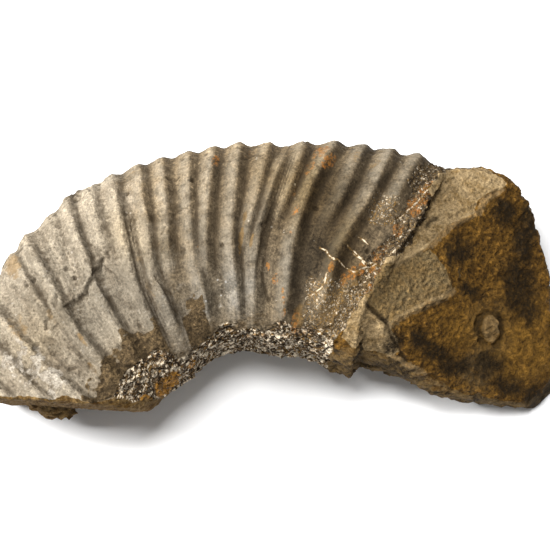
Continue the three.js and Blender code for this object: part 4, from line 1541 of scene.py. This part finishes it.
def growth_lines():
    """Fine lines that run along the ribs."""
    outputs = {"Shade": "value", "Height": "value"}
    graph, given, result = new_group("Growth lines", {"Flow": "vector"}, outputs)
    fine = graph.noise(graph.vector_math("DIVIDE", given["Flow"], FINE_LINE), 1.0, roughness=0.65)
    stretched = graph.vector_math("DIVIDE", given["Flow"], WIDE_LINE)
    wide = graph.noise(stretched, 1.0, detail=4.0, roughness=0.6)
    both = graph.total(graph.times(fine, 0.4), graph.times(wide, 0.6))
    graph.feed(result["Shade"], graph.spread(both, 0.34, 0.66, 0.76, 1.24))
    graph.feed(result["Height"], fine)
    return graph.tree


def crystal_crust():
    """Packed crystals, most of them dark, some of them pale."""
    graph, given, result = new_group("Crystal crust", {
        "Place": "vector", "Size": "value", "Dark": "colour", "Middle": "colour", "Warm": "colour",
        "Pale": "colour", "Share": "value",
    }, {"Colour": "colour", "Height": "value", "Glint": "value"})
    bend = graph.node("TexNoise", {"Vector": given["Place"], "Scale": 0.4, "Detail": 2.0}).outputs["Color"]
    place = graph.vector_math("ADD", given["Place"], graph.scaled(bend, graph.times(given["Size"], 1.6)))
    from_middle, large = graph.cells(place, given["Size"])
    _, small = graph.cells(place, graph.times(given["Size"], 0.45))
    pick = graph.total(graph.times(large[0], 0.45), graph.times(small[1], 0.55))
    rarity = graph.math("SUBTRACT", 1.0, given["Share"])
    glint = graph.spread(pick, rarity, graph.total(rarity, 0.08))
    body = graph.mix(graph.spread(pick, 0.25, 0.6), given["Dark"], given["Middle"])
    body = graph.mix(graph.times(graph.spread(small[2], 0.62, 0.8), 0.8), body, given["Warm"])
    joint = graph.times(graph.spread(from_middle, 0.42, 0.75), 0.75)
    lift = graph.total(graph.times(large[0], 0.8), graph.times(small[1], 0.5))
    graph.feed(result["Colour"], graph.mix(joint, graph.mix(glint, body, given["Pale"]), given["Dark"]))
    graph.feed(result["Height"], graph.math("SUBTRACT", lift, joint))
    graph.feed(result["Glint"], glint)
    return graph.tree


def ragged_mask():
    """A soft mask with its edge broken up."""
    inputs = {"Mask": "value", "Place": "vector", "Size": "value", "Raggedness": "value"}
    graph, given, result = new_group("Ragged mask", inputs, {"Mask": "value"})
    noise = graph.noise(given["Place"], given["Size"], detail=5.0, roughness=0.65)
    moved = graph.total(given["Mask"], graph.times(graph.math("SUBTRACT", noise, 0.5), given["Raggedness"]))
    graph.feed(result["Mask"], graph.spread(moved, 0.34, 0.66))
    return graph.tree


class Coat:
    """The stone's colour and relief, as one covering is laid over another."""

    def __init__(self, graph, finish):
        self.graph = graph
        self.finish = finish
        self.place = graph.scaled(graph.node("TexCoord").outputs["Object"], 1 / MM)
        self.flow = graph.attribute("flow", "Vector")
        self.stone = mottled_stone()
        self.crystals = crystal_crust()
        self.ragged = ragged_mask()
        self.dots = flecks()

    def clouds(self, size, low, high, share=(0.0, 1.0), **noise):
        """Cloudy noise spread over a share, from its low part to its high part."""
        return self.graph.spread(self.graph.noise(self.place, size, **noise), low, high, *share)

    def edge(self, name, size, raggedness):
        """A mask with its edge broken up."""
        mask = self.graph.attribute(name)
        feeds = {"Mask": mask, "Place": self.place, "Size": size, "Raggedness": raggedness}
        return self.graph.placed(self.ragged, **feeds)["Mask"]

    def soft(self, name, size):
        """A mask with its strength, not its edge, uneven."""
        uneven = self.clouds(size, 0.25, 0.65, (0.25, 1.1), detail=4.0, roughness=0.6)
        return self.graph.times(self.graph.attribute(name), uneven)

    def dotted(self, size, share, reach):
        return self.graph.placed(self.dots, Place=self.place, Size=size, Share=share, Reach=reach)["Mask"]

    def mottled(self, pale, deep, patch, grain, contrast):
        return self.graph.placed(
            self.stone, Place=self.place, Pale=getattr(self.finish, pale), Deep=getattr(self.finish, deep),
            Patch=patch, Grain=grain, Contrast=contrast,
        )

    def crust(self, place, size, share, dark, middle, warm):
        """Crystals of a size, a share of them pale."""
        return self.graph.placed(
            self.crystals, Place=place, Size=size, Share=share, Dark=getattr(self.finish, dark),
            Middle=getattr(self.finish, middle), Warm=getattr(self.finish, warm),
            Pale=self.finish.crystal_pale,
        )

    def tint(self, over, *amounts):
        """Lays a plain colour over what is there."""
        self.colour = self.graph.mix(self.graph.times(*amounts), self.colour, getattr(self.finish, over))

    def lay(self, covering, relief, *amounts):
        """Lays a covering and its relief over what is there."""
        amount = self.graph.times(*amounts)
        self.colour = self.graph.mix(amount, self.colour, covering["Colour"])
        difference = self.graph.math("SUBTRACT", self.graph.times(covering["Height"], relief), self.height)
        self.height = self.graph.total(self.height, self.graph.times(amount, difference))


def lay_skin(coat):
    """Ribbed skin, darker towards the aperture, with growth lines, painted highlights on the lit sides of
    the crests and painted shade on the steep sides of the ribs.
    """
    graph = coat.graph
    lines = graph.placed(growth_lines(), Flow=coat.flow)
    light = coat.mottled("skin_pale", "skin_grey", 20.0, 1.5, 2.5)
    dark = coat.mottled("skin_tan", "skin_dark", 15.0, 1.5, 3.0)
    both = graph.mix(coat.edge("patina", 14.0, 0.9), light["Colour"], dark["Colour"])
    coat.colour = graph.scaled(both, lines["Shade"])
    coat.height = graph.total(graph.times(light["Height"], 0.85), graph.times(lines["Height"], 0.45))
    worn = coat.edge("worn", 4.0, 0.7)
    older = graph.attribute("older")
    coat.tint("skin_dark", worn, coat.dotted(1.9, 0.40, 0.32), 0.55)
    coat.tint("chalk", worn, coat.dotted(2.3, 0.16, 0.30), 0.60)
    # Chalky flecks on the lit side of the older crests: pale colour and painted highlight.
    coat.tint("chalk", coat.soft("crest_highlight", 5.0), older, coat.clouds(2.2, 0.60, 0.66), 0.8)
    coat.tint("hollow_shade_and_dirt", coat.dotted(6.0, 0.20, 0.10), 0.6)
    # Painted highlight on the lit side of each crest.
    coat.tint("crest", coat.soft("crest_highlight", 6.0), 0.40)
    # Painted shade on the steep side of each rib.
    coat.tint("hollow_shade_and_dirt", coat.soft("steep", 5.0), 0.58)
    grime = coat.clouds(15.0, 0.50, 0.60, detail=6.0, roughness=0.65, curl=0.8)
    coat.tint("skin_dark", grime, older, 0.35)
    coat.colour = graph.vector_math("MULTIPLY", coat.colour, graph.attribute("tone", "Vector"))
    coat.tint("skin_dark", coat.edge("growth", 3.0, 1.0), 0.8)


def lay_crusts(coat):
    """Stains, old mud, chalk and crystals, and the veins that run through them."""
    graph = coat.graph
    coat.tint("ochre", coat.edge("ochre", 4.0, 1.0), 0.55)
    coat.lay(coat.mottled("mud", "earth", 4.0, 1.4, 3.4), 1.4, coat.edge("earth", 5.0, 0.8))
    coat.lay(coat.mottled("chalk", "skin_grey", 5.0, 0.8, 1.6), 0.6, coat.edge("chalk", 3.0, 1.1))
    along_wall = graph.vector_math("DIVIDE", coat.flow, WALL_STRETCH)
    wall = coat.crust(along_wall, 2.6, 0.45, "crystal_dark", "crystal_brown", "ochre")
    wall_mask = coat.edge("wall", 3.0, 1.3)
    coat.lay(wall, 0.9, wall_mask)
    band = coat.crust(coat.place, 1.7, 0.24, "crystal_dark", "skin_tan", "ochre")
    band_mask = coat.edge("band", 3.0, 1.0)
    coat.lay(band, 0.7, band_mask, 0.75)
    coat.glint = graph.total(graph.times(wall["Glint"], wall_mask), graph.times(band["Glint"], band_mask))
    sparkle = coat.crust(coat.place, 1.3, 0.28, "skin_dark", "skin_tan", "rock_gold")
    coat.lay(sparkle, 0.4, coat.edge("sparkle", 5.0, 1.6), 0.6)
    specks = coat.clouds(2.4, 0.42, 0.60, detail=4.0, roughness=0.7)
    rust = graph.times(coat.edge("rust", 3.0, 1.0), specks, 0.8)
    coat.colour = graph.mix(rust, coat.colour, coat.mottled("iron", "ochre", 3.0, 0.8, 1.2)["Colour"])
    coat.lay(coat.mottled("gold", "earth", 4.0, 0.9, 2.0), 0.8, coat.edge("wall_ochre", 5.0, 0.9))
    breaks = graph.math("SUBTRACT", graph.noise(coat.place, 3.0, detail=4.0, roughness=0.7), 0.5)
    vein = graph.total(graph.attribute("vein"), graph.times(breaks, 0.7))
    coat.tint("ochre", graph.spread(vein, 0.62, 0.82), 0.55)
    coat.tint("crystal_pale", graph.spread(vein, 0.82, 0.95), 0.85)


def lay_rock(coat):
    """Bare rock, one finish to each kind of break, with its golden, grey and dark patches, painted shade
    along its cracks, on its corner facet and in the knob's moat, and pale lips that carry a painted
    highlight.
    """
    for name, size, raggedness, pale, deep, patch, grain, contrast, relief in BREAK_FINISHES:
        finish = coat.mottled(pale, deep, patch, grain, contrast)
        coat.lay(finish, relief, coat.edge(name, size, raggedness))
    coat.tint("rock_gold", coat.soft("lit_rock", 9.0), 0.45)
    coat.tint("rock_shade", coat.soft("grey_rock", 7.0), 0.65)
    coat.tint("rock_drab", coat.soft("halo", 6.0), 0.35)
    uneven = coat.clouds(2.0, 0.3, 0.62, (0.62, 1.15), detail=5.0, roughness=0.75)
    # Dark patches of the rock, painted shade along its cracks and painted shadow on its corner facet.
    coat.tint("rock_dark_and_shade", coat.graph.attribute("dark_patches_and_shade"), uneven, 0.92)
    # Pale lips: pale rock colour and painted highlight along the break edges.
    coat.tint("rock_pale", coat.edge("lip", 2.5, 1.1), 0.40)
    coat.tint("rock_pale", coat.edge("knob", 2.0, 0.8), 0.30)
    # Painted shade in the knob's moat.
    coat.tint("rock_dark_and_shade", coat.graph.attribute("moat"), 0.85)
    coat.tint("rock_dark_and_shade", coat.edge("bare_rock", 1.5, 0.3), coat.dotted(4.5, 0.2, 0.14), 0.6)


def lay_painted_shade(coat):
    """Painted shade in the hollows, uneven in strength, and painted highlights on the high spots."""
    graph = coat.graph
    uneven_shade = coat.clouds(3.0, 0.3, 0.6, (0.35, 1.0), detail=4.0)
    # Painted shade in the hollows.
    coat.tint("hollow_shade_and_dirt", graph.attribute("hollow_shade_and_dirt"), uneven_shade, 0.75)
    proud = graph.times(graph.attribute("proud"), coat.clouds(2.0, 0.4, 0.65))
    # Painted highlight: high spots made paler.
    coat.colour = graph.scaled(coat.colour, graph.spread(proud, 0.0, 1.0, 1.0, 1.35))


def fossil_material(finish):
    """The whole stone: ribbed skin, crusts, stains, bare rock, painted shade and painted highlights, laid
    over each other by masks.
    """
    material = bpy.data.materials.new("Fossil stone")
    material.use_nodes = True
    material.node_tree.nodes.clear()
    graph = Graph(material.node_tree)
    coat = Coat(graph, finish)
    for lay in (lay_skin, lay_crusts, lay_rock, lay_painted_shade):
        lay(coat)
    roughness = graph.spread(coat.glint, 0.0, 1.0, DULL, GLINTING)
    bump = graph.node("Bump", {"Height": coat.height, "Distance": MM, "Strength": 1.0}).outputs[0]
    feeds = {"Base Color": coat.colour, "Roughness": roughness, "Normal": bump}
    stone = graph.node("BsdfPrincipled", feeds)
    stone.inputs["Specular IOR Level"].default_value = SHEEN
    graph.node("OutputMaterial", {"Surface": stone.outputs[0]})
    return material


# ------------------------------------------------------------ the piece


def apply_modifier(piece, kind, **settings):
    modifier = piece.modifiers.new(kind.title(), kind)
    for name, value in settings.items():
        setattr(modifier, name, value)
    shown = piece.evaluated_get(bpy.context.evaluated_depsgraph_get())
    before = piece.data
    piece.data = bpy.data.meshes.new_from_object(shown)
    piece.modifiers.clear()
    bpy.data.meshes.remove(before)


def thin_out(piece, triangles):
    """Keeps the detail that shows, and fewer triangles on the underside."""
    mesh = piece.data
    surface = Surface(mesh)
    seen = smooth_step(*HIDDEN_FACING, surface.facing[:, 2]) * smooth_step(*HIDDEN_SIDE, surface.side)
    level = np.round((1 - seen) * THINNING_LEVELS).astype(int)
    group = piece.vertex_groups.new(name="hidden")
    for step in range(THINNING_LEVELS + 1):
        weight = blend(LEAST_THINNING, 1.0, step / THINNING_LEVELS)
        group.add(np.flatnonzero(level == step).tolist(), weight, "REPLACE")
    mesh.calc_loop_triangles()
    share = triangles / len(mesh.loop_triangles)
    apply_modifier(
        piece, "DECIMATE", ratio=min(share, 1.0), vertex_group=group.name,
        vertex_group_factor=THINNING_PULL, use_collapse_triangulate=True,
    )
    piece.vertex_groups.clear()


def build_section(context):
    sizes, finish = context.scene.fossil_sizes, context.scene.fossil_finish
    piece = bpy.data.objects.new(PIECE, rough_blank(sizes))
    context.scene.collection.objects.link(piece)
    apply_modifier(piece, "REMESH", mode="VOXEL", voxel_size=sizes.grain * 1)
    carve(piece.data)
    thin_out(piece, sizes.triangles // (1))
    cover(piece.data)
    piece.data.transform(Matrix.Translation((-ORIGIN[0] * MM, -ORIGIN[1] * MM, 0)))
    piece.data.shade_smooth()
    piece.data.materials.append(fossil_material(finish))
    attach(piece, "root")
    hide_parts("ammonite_section")


# ------------------------------------------------------------ the stage


def plain_material(name, colour):
    material = bpy.data.materials.new(name)
    material.use_nodes = True
    shader = material.node_tree.nodes["Principled BSDF"]
    shader.inputs["Base Color"].default_value = (*colour, 1)
    shader.inputs["Roughness"].default_value = 0.9
    shader.inputs["Specular IOR Level"].default_value = 0.1
    return material


def lay_floor(context, stage):
    half = stage.floor_size / 2
    mesh = bpy.data.meshes.new("floor")
    corners = [(-half, -half, 0), (half, -half, 0), (half, half, 0), (-half, half, 0)]
    mesh.from_pydata(corners, [], [(0, 1, 2, 3)])
    mesh.materials.append(plain_material("Pale floor", stage.floor))
    floor = bpy.data.objects.new("floor", mesh)
    context.scene.collection.objects.link(floor)


def hang_lamp(context, stage, name, power, direction, height):
    lamp = bpy.data.lights.new(name, "AREA")
    lamp.energy = power
    lamp.size = stage.lamp_size
    hung = bpy.data.objects.new(name, lamp)
    level = math.cos(height)
    towards = Vector((math.cos(direction) * level, math.sin(direction) * level, math.sin(height)))
    hung.location = towards * stage.lamp_distance
    hung.rotation_euler = towards.to_track_quat("Z", "Y").to_euler()
    context.scene.collection.objects.link(hung)


def hang_lights(context, stage):
    hang_lamp(context, stage, "side lamp", stage.key_power, stage.key_direction, stage.key_height)
    hang_lamp(context, stage, "top lamp", stage.top_power, stage.top_direction, stage.top_height)
    world = bpy.data.worlds.new("even light")
    world.use_nodes = True
    world.node_tree.nodes["Background"].inputs["Color"].default_value = (1, 1, 1, 1)
    world.node_tree.nodes["Background"].inputs["Strength"].default_value = stage.fill
    context.scene.world = world


def set_camera(context, stage):
    camera = bpy.data.objects.new("camera", bpy.data.cameras.new("camera"))
    camera.data.lens = stage.camera_lens
    camera.data.clip_start = 0.05
    back = Vector((0, -math.cos(stage.camera_elevation), math.sin(stage.camera_elevation)))
    camera.location = Vector(stage.camera_target) + back * stage.camera_distance
    camera.rotation_euler = back.to_track_quat("Z", "Y").to_euler()
    context.scene.collection.objects.link(camera)
    context.scene.camera = camera


# ------------------------------------------------------------ operators, panel and registration


class FOSSIL_OT_build_section(bpy.types.Operator):
    """Carve the broken whorl with its bare rock, and give it its finish"""

    bl_idname = "fossil.build_section"
    bl_label = "Build Ammonite Section"

    def execute(self, context):
        build_section(context)
        return {"FINISHED"}


class FOSSIL_OT_set_stage(bpy.types.Operator):
    """Lay the floor, hang the lights and set the camera"""

    bl_idname = "fossil.set_stage"
    bl_label = "Set Stage"

    def execute(self, context):
        stage = context.scene.fossil_stage
        lay_floor(context, stage)
        hang_lights(context, stage)
        set_camera(context, stage)
        context.scene.view_settings.view_transform = "Standard"
        return {"FINISHED"}


OPERATORS = (FOSSIL_OT_set_stage, FOSSIL_OT_build_section)


class FOSSIL_PT_panel(bpy.types.Panel):
    bl_label = "Fossil Ammonite"
    bl_idname = "FOSSIL_PT_panel"
    bl_space_type = "VIEW_3D"
    bl_region_type = "UI"
    bl_category = "Fossil"

    def draw(self, context):
        for operator in OPERATORS:
            self.layout.operator(operator.bl_idname)
        for group in (context.scene.fossil_sizes, context.scene.fossil_finish, context.scene.fossil_stage):
            box = self.layout.box()
            for name in group.__annotations__:
                box.prop(group, name)


PROPERTIES = {"fossil_sizes": FossilSizes, "fossil_finish": FossilFinish, "fossil_stage": FossilStage}
CLASSES = (*PROPERTIES.values(), *OPERATORS, FOSSIL_PT_panel)


def register():
    for each in CLASSES:
        bpy.utils.register_class(each)
    for name, kind in PROPERTIES.items():
        setattr(bpy.types.Scene, name, bpy.props.PointerProperty(type=kind))


def unregister():
    for name in PROPERTIES:
        delattr(bpy.types.Scene, name)
    for each in reversed(CLASSES):
        bpy.utils.unregister_class(each)


def main():
    register()
    bpy.ops.fossil.set_stage()
    bpy.ops.fossil.build_section()


if __name__ == "__main__":
    main()
